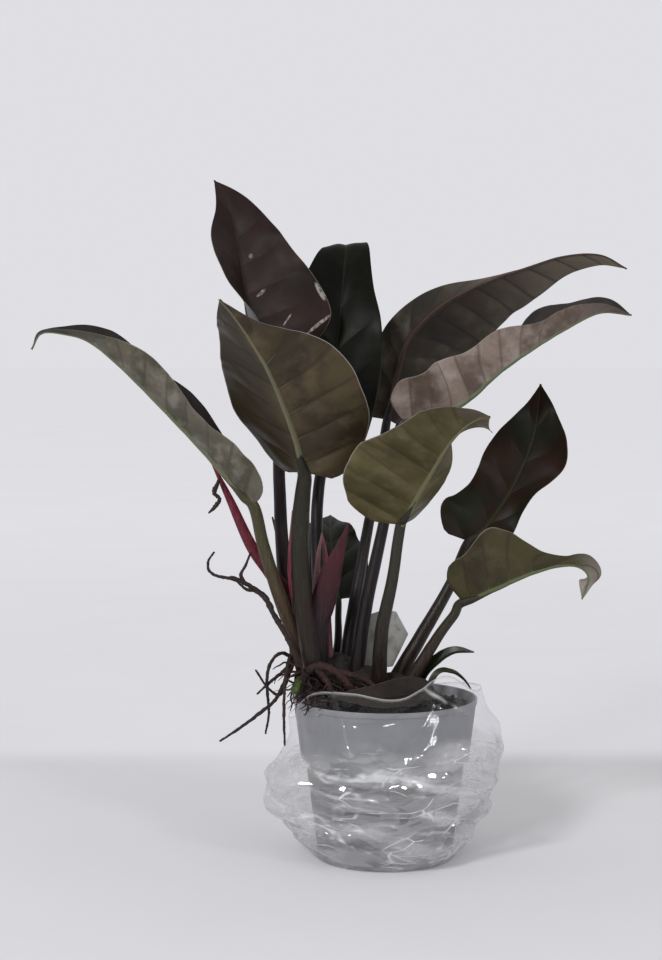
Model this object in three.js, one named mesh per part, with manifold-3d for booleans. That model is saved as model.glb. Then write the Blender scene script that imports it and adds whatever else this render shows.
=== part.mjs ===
// A potted imperial red philodendron: a ribbed nursery pot of soil in a loose clear
// wrap, with a crown that carries ten long leaf stalks, their blades, red sheaths,
// small basal leaves and hanging air roots. Millimetres, +Z up. The origin is on the
// floor under the middle of the pot, and -Y is the front.
import * as THREE from 'three';
import { mergeVertices } from 'three/addons/utils/BufferGeometryUtils.js';
import Module from 'manifold-3d';

const wasm = await Module();
wasm.setup();

// Driving dimensions
const GAP = 0.35; // clearance between neighbouring pieces
const RIM_RADIUS = 112.5;
const RIM_TOP = 196;
const POT_BASE = 1.2; // the pot stands on the film under it
const POT_SIDES = 36;
const SOIL_LEVEL = 184;
const SOIL_FLOOR = 4.6;
const FILM = 0.8; // thickness of the clear wrap
const FILM_SIDES = 32;
const BLADE_EDGE = 0.9; // blade thickness at its margin
const BLADE_MIDDLE = 1.4; // blade thickness beside the midrib
const RIB_WIDTH = 3.2; // half width of the midrib at the blade's base
const RIB_DEPTH = 4.0; // how far the midrib stands out under the blade's base
const RIB_TIP = 0.5; // both of these at the tip
// A stalk's radius from foot to blade, as shares of its foot's
const STALK_TAPER = [1.15, 1, 0.85, 0.78];
const CUTICLE = 0.35; // roughness of a leaf's waxy skin

// Smooth values and curves

function vec(point) {
  return new THREE.Vector3(point[0], point[1], point[2]);
}

function curveThrough(points) {
  return new THREE.CatmullRomCurve3(points.map(vec), false, 'catmullrom', 0.5);
}

// The smooth value at t of numbers listed at even steps.
function along(values, t) {
  const last = values.length - 1;
  if (last === 0) {
    return values[0];
  }
  const x = Math.min(Math.max(t, 0), 1) * last;
  const i = Math.min(Math.floor(x), last - 1);
  const f = x - i;
  const b = values[i];
  const c = values[i + 1];
  const a = i > 0 ? values[i - 1] : 2 * b - c;
  const d = i + 2 <= last ? values[i + 2] : 2 * c - b;
  const square = 2 * a - 5 * b + 4 * c - d;
  const cube = 3 * b - a - 3 * c + d;
  return 0.5 * (2 * b + (c - a) * f + square * f * f + cube * f * f * f);
}

function steps(count) {
  return Array.from({ length: count + 1 }, (unused, i) => i / count);
}

// Solids

// A closed mesh through rings of points, all with the same number of points, with a
// fan of triangles over each end. From the ring numbered turn on, the rings come back
// along the other side of a wall, whose triangles then match those of the first side.
function ringSolid(rings, turn = rings.length) {
  const sides = rings[0].length;
  const positions = [];
  const index = [];
  for (const ring of rings) {
    for (const point of ring) {
      positions.push(point.x, point.y, point.z);
    }
  }
  for (let i = 0; i + 1 < rings.length; i += 1) {
    for (let j = 0; j < sides; j += 1) {
      const a = i * sides + j;
      const b = i * sides + ((j + 1) % sides);
      if (i < turn) {
        index.push(a, b, b + sides, a, b + sides, a + sides);
      } else {
        index.push(a, b, a + sides, b, b + sides, a + sides);
      }
    }
  }
  for (const end of [0, rings.length - 1]) {
    const middle = new THREE.Vector3();
    rings[end].forEach((point) => middle.addScaledVector(point, 1 / sides));
    const centre = positions.length / 3;
    positions.push(middle.x, middle.y, middle.z);
    for (let j = 0; j < sides; j += 1) {
      const a = end * sides + j;
      const b = end * sides + ((j + 1) % sides);
      index.push(...(end === 0 ? [centre, b, a] : [centre, a, b]));
    }
  }
  return outward(positions, index);
}

// A geometry with its faces turned outward.
function outward(positions, index) {
  let volume = 0;
  const corner = (i) => new THREE.Vector3().fromArray(positions, 3 * i);
  for (let i = 0; i < index.length; i += 3) {
    const [a, b, c] = [corner(index[i]), corner(index[i + 1]), corner(index[i + 2])];
    volume += a.dot(b.cross(c));
  }
  if (volume < 0) {
    for (let i = 0; i < index.length; i += 3) {
      [index[i], index[i + 1]] = [index[i + 1], index[i]];
    }
  }
  const geometry = new THREE.BufferGeometry();
  geometry.setAttribute('position', new THREE.Float32BufferAttribute(positions, 3));
  geometry.setIndex(index);
  return geometry;
}

// A tube along a curve. radii are listed from its start to its end, flat is its
// thickness as a share of its width, and face is the way its flat side looks.
function tube(points, radii, { sides = 8, rings = 8, flat = 1, face = [0, -1, 0.02] } = {}) {
  return (extra = 0) => {
    const curve = curveThrough(points);
    const stack = steps(rings).map((t) => {
      const centre = curve.getPointAt(t);
      const tangent = curve.getTangentAt(t);
      const across = new THREE.Vector3().crossVectors(tangent, vec(face)).normalize();
      const front = new THREE.Vector3().crossVectors(across, tangent).normalize();
      const radius = along(radii, t);
      if (t === 0 || t === 1) {
        centre.addScaledVector(tangent, t === 0 ? -extra : extra);
      }
      return Array.from({ length: sides }, (unused, j) => {
        const angle = (2 * Math.PI * j) / sides;
        const point = centre.clone();
        point.addScaledVector(across, Math.cos(angle) * (radius + extra));
        return point.addScaledVector(front, Math.sin(angle) * (radius * flat + extra));
      });
    });
    return ringSolid(stack);
  };
}

// An egg-shaped lump.
function lump(centre, radii, sides = 10) {
  return (extra = 0) => {
    const geometry = new THREE.SphereGeometry(1, sides, Math.round(sides * 0.7));
    geometry.rotateX(Math.PI / 2);
    geometry.scale(radii[0] + extra, radii[1] + extra, radii[2] + extra);
    return geometry.translate(centre[0], centre[1], centre[2]);
  };
}

function toManifold(geometry) {
  const bare = geometry.clone();
  bare.deleteAttribute('normal');
  bare.deleteAttribute('uv');
  const merged = mergeVertices(bare, 1e-3);
  const index = [];
  for (let i = 0; i < merged.index.count; i += 3) {
    const [a, b, c] = [0, 1, 2].map((k) => merged.index.getX(i + k));
    if (a !== b && b !== c && c !== a) {
      index.push(a, b, c);
    }
  }
  const mesh = new wasm.Mesh({
    numProp: 3,
    vertProperties: new Float32Array(merged.attributes.position.array),
    triVerts: new Uint32Array(index),
  });
  return new wasm.Manifold(mesh);
}

function fromManifold(solid) {
  const mesh = solid.getMesh();
  const geometry = new THREE.BufferGeometry();
  const positions = new Float32Array(mesh.vertProperties);
  geometry.setAttribute('position', new THREE.BufferAttribute(positions, 3));
  geometry.setIndex(new THREE.BufferAttribute(new Uint32Array(mesh.triVerts), 1));
  return geometry;
}

function joined(shapes, extra = 0) {
  return shapes.map((shape) => toManifold(shape(extra))).reduce((a, b) => a.add(b));
}

function cutAway(solid, shapes, extra = GAP) {
  return shapes.reduce((rest, shape) => rest.subtract(toManifold(shape(extra))), solid);
}

// Leaves

// Each leaf's midrib runs from the base of the blade to its tip. faces says which way
// the upper side looks along the blade. half, fold and curl list each side's width in
// millimetres, its lift towards the upper side and its further bend, in degrees, left
// side first. wave is each margin's wave height, count and start. lobe sets the base
// back beside the stalk, and creases is the number and the depth of the sunken veins.
const LEAVES = {
  far_left: {
    rows: 22,
    spine: [
      [-160, -40, 433], [-186, -44, 462], [-218, -48, 500], [-266, -52, 551],
      [-315, -56, 600], [-350, -58, 628], [-378, -60, 637], [-406, -60, 638],
      [-418, -60, 619],
    ],
    faces: [[0.5, 0.4, 0.6], [0.6, 0.5, 0.6], [0.6, 0.45, 0.7], [0.3, 0.4, 0.9]],
    half: [
      [30, 40, 42, 42, 42, 42, 40, 30, 16, 7, 0],
      [30, 40, 42, 42, 42, 42, 40, 30, 16, 7, 0],
    ],
    fold: [[10, 20, 20, 30], [70, 75, 75, 80]],
    curl: [[10, 0], [0, 10]],
    wave: [[7, 2, 0.05], [6, 2.5, 0.3]],
    lobe: 10,
    creases: [8, 1],
    stalk: [[-94, -14, 232], [-109, -22, 274], [-127, -30, 321], [-146, -35, 381]],
    foot: 9,
    look: 'under',
  },
  tallest: {
    rows: 20,
    spine: [
      [-132, 8, 524], [-150, 20, 582], [-165, 34, 643], [-173, 44, 695],
      [-181, 52, 745], [-190, 58, 790], [-210, 62, 827],
    ],
    faces: [[0.3, -0.9, 0.1], [0.35, -0.9, 0.1], [0.5, -0.8, 0.2]],
    half: [
      [40, 50, 55, 58, 58, 56, 52, 48, 36, 18, 0],
      [40, 52, 60, 80, 106, 108, 92, 68, 50, 27, 0],
    ],
    fold: [[78, 84, 80, 46, 12, 18], [5, 5, 10]],
    curl: [[0, 0], [-60, -10, 0]],
    wave: [[5, 2.5, 0.4], [3, 3, 0.1]],
    lobe: 20,
    creases: [6, 0.8],
    stalk: [[-100, 18, 230], [-119, 13, 313], [-126, 10, 387], [-129, 9, 461]],
    foot: 9,
    look: 'upper',
  },
  front_left: {
    rows: 20,
    spine: [
      [-98, -60, 472], [-107, -90, 514], [-121, -125, 556], [-137, -160, 596],
      [-156, -190, 630], [-173, -215, 656], [-187, -235, 673],
    ],
    faces: [[0.25, 0.85, 0.4], [0.25, 0.8, 0.5], [0.2, 0.75, 0.6]],
    half: [
      [55, 72, 86, 94, 94, 90, 76, 52, 26, 10, 0],
      [45, 66, 85, 98, 97, 89, 79, 66, 48, 26, 0],
    ],
    fold: [[10, 10, 10], [20, 25, 30]],
    curl: [[10, 10], [10, 10]],
    wave: [[3, 2, 0], [4, 3, 0.1]],
    lobe: 25,
    creases: [7, 1.2],
    stalk: [[-88, -37, 236], [-100, -39, 319], [-103, -46, 393], [-100, -54, 445]],
    foot: 11.5,
    taper: [0.95, 1, 0.98, 0.74],
    look: 'under',
  },
  upright: {
    rows: 22,
    spine: [
      [-78, 60, 470], [-66, 85, 556], [-56, 110, 644], [-51, 130, 702],
      [-47, 155, 744], [-47, 185, 754], [-45, 215, 742], [-43, 235, 714],
    ],
    faces: [[0, -0.9, 0.2], [0.05, -0.9, 0.2], [0, -0.8, 0.6], [0, 0.2, 1]],
    half: [
      [45, 62, 66, 66, 64, 60, 52, 40, 26, 12, 0],
      [45, 62, 66, 66, 62, 54, 42, 34, 27, 14, 0],
    ],
    fold: [[35, 30, 12, 10], [35, 30, 12, 10]],
    curl: [[15, -30], [15, -30]],
    wave: [[2, 2, 0], [4, 4, 0.1]],
    lobe: 20,
    creases: [7, 0.8],
    stalk: [[-80, 22, 230], [-80, 30, 311], [-84, 45, 390], [-82, 55, 440]],
    foot: 9,
    look: 'upper',
  },
  high_right: {
    rows: 22,
    spine: [
      [6, 140, 529], [20, 145, 590], [35, 140, 634], [75, 130, 674], [129, 115, 703],
      [178, 105, 720], [226, 100, 735], [271, 98, 737], [305, 96, 720],
    ],
    faces: [[-0.3, 0.85, 0.3], [-0.3, 0.85, 0.4], [-0.2, 0.85, 0.5], [-0.1, 0.85, 0.5]],
    half: [
      [40, 60, 80, 85, 82, 75, 60, 43, 30, 16, 0],
      [30, 40, 42, 40, 34, 28, 22, 18, 14, 8, 0],
    ],
    fold: [[0, 0, 0, 0], [40, 70, 120, 130]],
    curl: [[10, 0], [0, 0]],
    wave: [[3, 4, 0], [3, 3, 0.1]],
    lobe: 20,
    creases: [8, 1.4],
    stalk: [[-49, 20, 228], [-38, 30, 300], [-19, 75, 400], [-4, 115, 470]],
    foot: 7.4,
    look: 'under',
  },
  mid_right: {
    rows: 20,
    spine: [
      [23, 20, 528], [67, 12, 541], [99, 6, 557], [138, 0, 592], [176, -4, 619],
      [217, -6, 644], [257, -8, 663], [295, -10, 660],
    ],
    faces: [[-0.5, 0.3, 0.8], [-0.5, 0.3, 0.85], [-0.4, 0.3, 0.85], [-0.2, 0.3, 0.9]],
    half: [
      [40, 52, 56, 54, 48, 46, 50, 58, 50, 30, 0],
      [44, 58, 62, 58, 50, 42, 33, 25, 18, 11, 0],
    ],
    fold: [[40, 45, 50], [50, 55, 60]],
    curl: [[10, 10], [10, 10]],
    wave: [[4, 3, 0.3], [4, 4, 0.1]],
    lobe: 20,
    creases: [8, 1.2],
    stalk: [[-35, -8, 228], [-25, -4, 300], [-1, 4, 412], [9, 12, 470]],
    foot: 7.8,
    look: 'under',
  },
  front_centre: {
    rows: 18,
    spine: [
      [17, -60, 411], [28, -85, 435], [46, -120, 472], [67, -165, 513],
      [84, -192, 534], [97, -212, 543], [108, -226, 546],
    ],
    faces: [[0.1, 0.75, 0.6], [0.1, 0.7, 0.7], [0.1, 0.6, 0.8]],
    half: [
      [40, 46, 48, 46, 42, 36, 26, 21, 24, 25, 0],
      [60, 76, 90, 93, 89, 80, 66, 52, 42, 29, 0],
    ],
    fold: [[55, 50, 52, 70, 30, -45], [0, 5, 10]],
    curl: [[0, 0], [5, 5]],
    wave: [[3, 2, 0], [3, 3, 0.1]],
    lobe: 20,
    creases: [6, 1],
    stalk: [[-8, -26, 222], [-5, -38, 283], [7, -48, 345]],
    foot: 8.2,
    look: 'under',
  },
  low_right_back: {
    rows: 16,
    spine: [
      [105, 42, 380], [131, 52, 405], [155, 62, 438], [173, 72, 471], [187, 80, 506],
      [194, 86, 541], [197, 88, 576],
    ],
    faces: [[-0.1, -0.9, 0.3]],
    half: [
      [45, 58, 55, 50, 50, 52, 50, 43, 30, 14, 0],
      [30, 38, 36, 31, 34, 47, 56, 48, 33, 18, 0],
    ],
    fold: [[10, 10, 10], [15, 20, 20]],
    curl: [[10, 10], [10, 10]],
    wave: [[4, 3, 0], [5, 3, 0.1]],
    lobe: 25,
    creases: [5, 0.8],
    stalk: [[14, 4, 218], [49, 15, 276], [81, 28, 330]],
    foot: 8.4,
    look: 'upper',
  },
  low_right_front: {
    rows: 17,
    spine: [
      [92, -30, 315], [112, -40, 325], [138, -49, 338], [170, -57, 353], [200, -65, 363],
      [224, -71, 364], [237, -77, 352], [229, -81, 326],
    ],
    faces: [[-0.3, 0.5, 0.8], [-0.3, 0.5, 0.8], [-0.1, 0.5, 0.8], [0.3, 0.5, 0.6]],
    half: [
      [30, 42, 50, 54, 50, 38, 18, 10, 15, 13, 0],
      [36, 50, 60, 68, 66, 46, 20, 10, 18, 15, 0],
    ],
    fold: [[40, 45, 50], [45, 50, 50]],
    curl: [[0, 0], [10, 10]],
    wave: [[3, 2, 0], [3, 3, 0.1]],
    lobe: 15,
    creases: [5, 1],
    stalk: [[30, -18, 218], [63, -23, 273], [82, -27, 300]],
    foot: 7.2,
    look: 'under',
  },
  small_back: {
    rows: 11,
    spine: [[-57, 60, 307], [-61, 90, 335], [-65, 130, 365], [-67, 170, 387], [-67, 210, 400]],
    faces: [[0, -0.7, 0.7], [0, -0.6, 0.8], [0, -0.5, 0.8]],
    half: [
      [35, 48, 52, 50, 44, 34, 18, 0],
      [30, 40, 44, 42, 36, 28, 14, 0],
    ],
    fold: [[15, 15], [15, 15]],
    curl: [[0, 0], [0, 0]],
    wave: [[3, 2, 0], [3, 3, 0.1]],
    lobe: 20,
    creases: [5, 0.8],
    stalk: [[-60, 34, 232], [-57, 42, 262], [-57, 50, 286]],
    foot: 5,
    look: 'upper',
  },
};

// The rows of a blade lie closer together where its base rounds off.
function bladeRows(count) {
  const base = [0, 0.012, 0.035, 0.07];
  const rest = count - base.length;
  return [...base, ...steps(rest).map((t) => 0.11 + 0.89 * t)];
}

// How far each column of a blade lies from the midrib: 0 is the middle, 1 is the foot
// of the rib and 2 is the margin.
const COLUMNS = [-2, -1.72, -1.36, -1, 0, 1, 1.36, 1.72, 2];

function ribSize(t, atBase) {
  return RIB_TIP + (atBase - RIB_TIP) * (1 - t);
}

// The middle surface of a blade at t along it and at one of the columns.
function bladePoint(leaf, curve, faces, t, column) {
  const side = column > 0 ? 1 : 0;
  const sign = column > 0 ? 1 : -1;
  const centre = curve.getPointAt(t);
  const tangent = curve.getTangentAt(t);
  const face = faces.getPoint(t);
  face.addScaledVector(tangent, -face.dot(tangent)).normalize();
  const across = new THREE.Vector3().crossVectors(tangent, face);
  const rib = ribSize(t, RIB_WIDTH);
  const rounding = 1 - Math.min(t / 0.08, 1);
  const listed = along(leaf.half[side], t) * Math.sqrt(1 - rounding * rounding);
  const width = Math.max(listed, rib + 0.8);
  const distance = Math.abs(column);
  const reach = distance <= 1 ? rib * distance : rib + (width - rib) * (distance - 1);
  const a = reach / width;
  const fold = THREE.MathUtils.degToRad(along(leaf.fold[side], t));
  const bend = THREE.MathUtils.degToRad(along(leaf.curl[side], t)) + 1e-4;
  const out = (width * (Math.sin(fold + bend * a) - Math.sin(fold))) / bend;
  let lift = (width * (Math.cos(fold) - Math.cos(fold + bend * a))) / bend;
  const [height, count, start] = leaf.wave[side];
  const spread = Math.min(1, width / 25);
  lift += height * a * a * spread * Math.sin(2 * Math.PI * (count * t + start));
  const [creases, depth] = leaf.creases;
  const swell = Math.min(1, width / 40) * Math.sin(Math.PI * Math.min(1, a * 1.15));
  lift += depth * swell * Math.sin(2 * Math.PI * (creases * t - 0.9 * a));
  const free = Math.max(reach - rib - 3, 0) / width;
  const open = Math.min(1, Math.max(width - rib - 0.8, 0) / 26);
  const setBack = leaf.lobe * free * open * Math.exp(-t / 0.12);
  centre.addScaledVector(across, sign * out);
  centre.addScaledVector(face, lift);
  return centre.addScaledVector(tangent, -setBack);
}

function blade(leaf) {
  const curve = curveThrough(leaf.spine);
  const single = leaf.faces.length === 1;
  const faces = single ? { getPoint: () => vec(leaf.faces[0]) } : curveThrough(leaf.faces);
  const rows = bladeRows(leaf.rows);
  const last = COLUMNS.length - 1;
  const grid = rows.map((t) => COLUMNS.map((c) => bladePoint(leaf, curve, faces, t, c)));
  const near = (list, i) => list[Math.min(Math.max(i, 0), list.length - 1)];
  const positions = [];
  for (const side of [1, -1]) {
    rows.forEach((t, i) => {
      COLUMNS.forEach((column, j) => {
        const alongRow = near(grid, i + 1)[j].clone().sub(near(grid, i - 1)[j]);
        const acrossRow = near(grid[i], j + 1).clone().sub(near(grid[i], j - 1));
        const normal = acrossRow.cross(alongRow).normalize();
        const edge = Math.max(Math.abs(column) - 1, 0);
        let half = (BLADE_MIDDLE + (BLADE_EDGE - BLADE_MIDDLE) * edge) / 2;
        if (side < 0 && column === 0) {
          half += ribSize(t, RIB_DEPTH);
        }
        const point = grid[i][j].clone().addScaledVector(normal, side * half);
        positions.push(point.x, point.y, point.z);
      });
    });
  }
  const wide = COLUMNS.length;
  const under = rows.length * wide;
  const index = [];
  const quad = (a, b, c, d) => index.push(a, b, c, a, c, d);
  for (let i = 0; i + 1 < rows.length; i += 1) {
    for (let j = 0; j < last; j += 1) {
      const a = i * wide + j;
      const [b, c, d] = [a + 1, a + 1 + wide, a + wide];
      index.push(a, b, c, a, c, d);
      index.push(under + a, under + c, under + b, under + a, under + d, under + c);
    }
    const left = i * wide;
    quad(left, left + wide, under + left + wide, under + left);
    const right = i * wide + last;
    quad(right, under + right, under + right + wide, right + wide);
  }
  const end = (rows.length - 1) * wide;
  for (let j = 0; j < last; j += 1) {
    quad(j, under + j, under + j + 1, j + 1);
    quad(end + j, end + j + 1, under + end + j + 1, under + end + j);
  }
  return outward(positions, index);
}

// A leaf stalk runs from its foot in the crown to just short of its blade.
function stalk(leaf) {
  const curve = curveThrough(leaf.spine);
  const into = curve.getTangentAt(0);
  const neck = vec(leaf.spine[0]).addScaledVector(into, -1.8);
  const before = neck.clone().addScaledVector(into, -9);
  const points = [...leaf.stalk, before.toArray(), neck.toArray()];
  const radii = (leaf.taper ?? STALK_TAPER).map((share) => share * leaf.foot);
  return tube(points, radii, { rings: 9 });
}

const stalks = Object.fromEntries(Object.entries(LEAVES).map(([k, v]) => [k, stalk(v)]));

// Sheaths and small leaves at the crown

const sheaths = {
  sheath_crimson_left: tube(
    [[-108, 0, 242], [-113, -2, 310], [-140, -10, 350], [-163, -12, 383],
      [-188, -12, 438], [-211, -12, 486]],
    [8, 8.5, 8, 6.5, 4.5, 1],
    { flat: 0.55, rings: 10 },
  ),
  sheath_pink: tube(
    [[-92, -3, 246], [-106, -13, 300], [-113, -20, 340], [-114, -24, 375],
      [-112, -26, 426]],
    [4.5, 4.5, 4, 1],
    { flat: 0.6, sides: 6 },
  ),
  sheath_crimson_front: tube(
    [[-78, -18, 238], [-82, -20, 287], [-76, -22, 314], [-66, -26, 351],
      [-52, -30, 389], [-45, -32, 412]],
    [8, 13, 16, 15, 8, 1],
    { flat: 0.36, rings: 10, face: [0.2, -1, 0.1] },
  ),
  sheath_pale: tube(
    [[-78, 2, 240], [-83, 4, 314], [-82, 4, 363], [-77, 2, 396]],
    [4, 4, 3.5, 1],
    { flat: 0.6, sides: 6 },
  ),
  sheath_rose: tube(
    [[-67, 8, 238], [-71, 10, 313], [-72, 10, 362], [-76, 12, 392]],
    [4, 4, 3.5, 1],
    { flat: 0.6, sides: 6 },
  ),
  sheath_papery: tube(
    [[-98, 30, 236], [-116, 28, 311], [-127, 26, 373], [-138, 24, 414]],
    [5, 5, 4.5, 1],
    { flat: 0.4, sides: 6 },
  ),
};

const basal = {
  basal_leaf_upper: tube(
    [[36, -8, 190], [48, -10, 223], [66, -14, 243], [85, -18, 254], [107, -22, 254]],
    [5, 7, 10, 8, 1],
    { flat: 0.22, rings: 10, face: [-0.3, -0.6, 0.7] },
  ),
  basal_leaf_lower: tube(
    [[44, -30, 190], [62, -30, 228], [80, -26, 230], [94, -20, 221], [104, -16, 208]],
    [3.5, 5, 6, 5, 1],
    { flat: 0.3, rings: 8, face: [0, -0.3, 1] },
  ),
  old_leaf: tube(
    [[56, -72, 217], [20, -84, 213], [-14, -88, 210], [-46, -84, 210], [-70, -74, 209]],
    [9, 21, 19, 14, 9, 1],
    { flat: 0.13, rings: 12, face: [0, -0.85, 0.5] },
  ),
  stem_stub: tube([[-94, -26, 222], [-102, -46, 225], [-109, -64, 215]], [5, 5.5, 5.5], { rings: 4 }),
};

// Roots

const hangingRoots = [
  lump([-110, -32, 248], [9, 9, 9], 8),
  tube([[-110, -32, 248], [-124, -42, 256], [-134, -52, 252], [-141, -58, 238],
    [-142, -60, 215], [-140, -60, 187], [-144, -60, 162]], [2.4, 2, 1.8, 1.2],
  { sides: 6, rings: 9 }),
  tube([[-110, -32, 248], [-118, -46, 226], [-126, -62, 210], [-140, -70, 218],
    [-155, -74, 241]], [2.4, 2, 1.6, 1.2], { sides: 6, rings: 7, face: [0.2, 0.3, 1] }),
  tube([[-110, -32, 248], [-122, -46, 236], [-138, -56, 224], [-154, -60, 210]],
    [2.4, 2, 1.8, 1.2], { sides: 6, rings: 5, face: [0.2, -1, 0.3] }),
  tube([[-110, -32, 248], [-120, -50, 226], [-132, -84, 207], [-146, -106, 198],
    [-172, -116, 180], [-195, -118, 165]], [2.6, 2.2, 2, 1.2],
  { sides: 6, rings: 8, face: [0.2, 0.3, 1] }),
  tube([[-110, -32, 248], [-116, -52, 250], [-120, -84, 228], [-121, -106, 200],
    [-120, -108, 158]], [2.4, 2, 1.8, 1.2], { sides: 6, rings: 7, face: [1, 0.1, 0.1] }),
];

const upperRoots = [
  tube([[-101, -47, 228], [-106, -52, 244], [-112, -50, 262], [-122, -46, 282], [-134, -42, 302],
    [-144, -34, 320], [-157, -32, 331], [-172, -32, 341], [-186, -33, 346]],
  [3, 2.8, 3.2, 3.6, 3.2, 2.6], { sides: 6, rings: 12 }),
  tube([[-180, -32, 344], [-202, -34, 348], [-212, -36, 355], [-213, -36, 366],
    [-206, -36, 377]], [2.2, 1.8, 1.2], { sides: 6, rings: 9 }),
  tube([[-157, -32, 331], [-166, -40, 332], [-178, -44, 342]], [2.2, 1.8, 1.2],
    { sides: 6, rings: 5 }),
  tube([[-170, -32, 340], [-174, -36, 350], [-168, -38, 362], [-162, -38, 377]],
    [2.2, 1.8, 1.2], { sides: 6, rings: 6 }),
];

const surfaceRoots = [
  tube([[-100, -50, 220], [-94, -56, 236], [-79, -57, 243], [-61, -57, 236],
    [-43, -60, 216], [-36, -64, 182]], [5, 4.5, 4.5, 4], { sides: 8, rings: 8 }),
  tube([[-84, -56, 240], [-70, -61, 224], [-62, -68, 204], [-60, -72, 180]],
    [4, 3.6, 3.2], { sides: 6, rings: 6 }),
  tube([[-66, -56, 237], [-44, -54, 232], [-20, -50, 221], [-4, -56, 204],
    [4, -62, 180]], [4, 3.6, 3.2], { sides: 6, rings: 8 }),
];

const shrivelledTip = tube(
  [[-200, -22, 464], [-206, -24, 448], [-200, -24, 440], [-205, -24, 431], [-213, -24, 423]],
  [1.6, 3, 2.2, 2.6, 1],
  { sides: 6, rings: 8, flat: 0.6 },
);

// Crown

const crown = [
  lump([-84, -4, 220], [27, 32, 32], 10),
  lump([-56, 12, 216], [26, 28, 32], 8),
  lump([-24, -4, 208], [28, 28, 28], 10),
  lump([10, -6, 202], [26, 24, 24], 8),
  lump([34, -10, 196], [18, 20, 18], 8),
];

// Plant label: a blank card with a stake that stands in the soil
const LABEL_MIDDLE = 18;
const LABEL_THICKNESS = 0.9;
const STAKE = { x: -8, half: 2, foot: 176, top: 228 };

function label() {
  const { x, half, foot, top } = STAKE;
  const outline = [
    [-26, 292], [-2, 300], [14, 298], [29, 270], [10, 230], [x + half, top],
    [x + half, foot + 6], [x, foot], [x - half, foot + 6], [x - half, top], [-27, 232],
  ];
  const shape = new THREE.Shape(outline.map((point) => new THREE.Vector2(...point)));
  const settings = { depth: LABEL_THICKNESS, bevelEnabled: false };
  const geometry = new THREE.ExtrudeGeometry(shape, settings);
  geometry.rotateX(Math.PI / 2);
  return geometry.translate(0, LABEL_MIDDLE + LABEL_THICKNESS / 2, 0);
}

// The slot that the stake leaves in the soil and the crown.
function stakeSlot(extra) {
  const height = STAKE.top - STAKE.foot + 4 * extra;
  const wide = 2 * STAKE.half + 2 * extra;
  const geometry = new THREE.BoxGeometry(wide, LABEL_THICKNESS + 2 * extra, height);
  return geometry.translate(STAKE.x, LABEL_MIDDLE, (STAKE.top + STAKE.foot) / 2);
}

// Pot, soil and clear wrap

function lathe(profile, sides) {
  const points = profile.map(([radius, z]) => new THREE.Vector2(radius, z));
  return new THREE.LatheGeometry(points, sides).rotateX(Math.PI / 2);
}

function pot() {
  return lathe(
    [
      [0, POT_BASE], [80, POT_BASE], [82, 3], [86, 34], [85, 35], [85.4, 38.5], [86.8, 39.5],
      [91.4, 76], [90.4, 78], [91.4, 86], [93, 87.5], [96.4, 115], [100.4, 118],
      [102.4, 120], [111, 188], [RIM_RADIUS, 190], [RIM_RADIUS, RIM_TOP],
      [RIM_RADIUS - 2.6, RIM_TOP], [108.4, 188], [99.8, 120], [93.6, 112], [79, 4.2],
      [0, 4.2],
    ],
    POT_SIDES,
  );
}

// The soil fills the pot. Its top is lumpy.
function soil() {
  const geometry = lathe(
    [
      [0, SOIL_FLOOR], [78, SOIL_FLOOR], [92.2, 112], [98.4, 120], [106, 180],
      [104, SOIL_LEVEL - 1], [80, SOIL_LEVEL], [50, SOIL_LEVEL], [24, SOIL_LEVEL],
      [0, SOIL_LEVEL],
    ],
    24,
  );
  const position = geometry.attributes.position;
  for (let i = 0; i < position.count; i += 1) {
    const [x, y, z] = [position.getX(i), position.getY(i), position.getZ(i)];
    if (z > SOIL_LEVEL - 0.5 && Math.hypot(x, y) > 1) {
      const bump = 3 * Math.sin(x / 9 + 1) * Math.sin(y / 11) + 2 * Math.sin(x / 5 - y / 7);
      position.setZ(i, z + bump);
    }
  }
  return geometry;
}

// Where the edge of the wrap lies, at even steps round from the right by the back.
const FILM_EDGE = [209, 204, 196, 190, 184, 176, 166, 184, 214, 219, 214, 238, 214, 209];

// The wrap's radius at even steps of height, from its foot to its edge.
const FILM_RADIUS = [87, 105, 114, 123, 131, 137, 140, 142, 141, 137, 130, 122, 117, 116];

// How far the wrap leans to the right at even steps of height.
const FILM_LEAN = [0, -1, -4, -8, -7, 0, 4, 5, 2, 0];

function filmRadius(share, angle, height) {
  const fall = Math.min(1, share * 5) * Math.min(1, (1.08 - share) * 2.4);
  const folds = 2.4 * Math.sin(5 * angle + 9 * share) + 1.8 * Math.sin(9 * angle - 14 * share);
  const tucks = 2.2 * Math.sin(34 * share + 3 * Math.sin(2 * angle));
  const lean = along(FILM_LEAN, share) * Math.cos(angle);
  const radius = along(FILM_RADIUS, share) + lean + fall * (folds + tucks);
  return height > 165 ? Math.max(radius, 115.5) : radius;
}

function clearWrap() {
  const rings = [];
  const ring = (place) => rings.push(
    Array.from({ length: FILM_SIDES }, (unused, j) => {
      const angle = (2 * Math.PI * j) / FILM_SIDES;
      const [radius, z] = place(angle);
      return new THREE.Vector3(radius * Math.cos(angle), radius * Math.sin(angle), z);
    }),
  );
  const shares = steps(10);
  const edge = (angle) => {
    const turn = angle / (2 * Math.PI);
    return along(FILM_EDGE, turn);
  };
  const wall = (share, inset) => ring((angle) => {
    const height = 6 + (edge(angle) - 6) * share;
    return [filmRadius(share, angle, height) - inset, height];
  });
  ring(() => [40, 0]);
  ring(() => [84, 0]);
  shares.forEach((share) => wall(share, 0));
  const turn = rings.length;
  shares.reverse().forEach((share) => wall(share, FILM));
  ring(() => [83.6, FILM]);
  ring(() => [40, FILM]);
  return ringSolid(rings, turn);
}

// Colours, roughness

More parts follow.
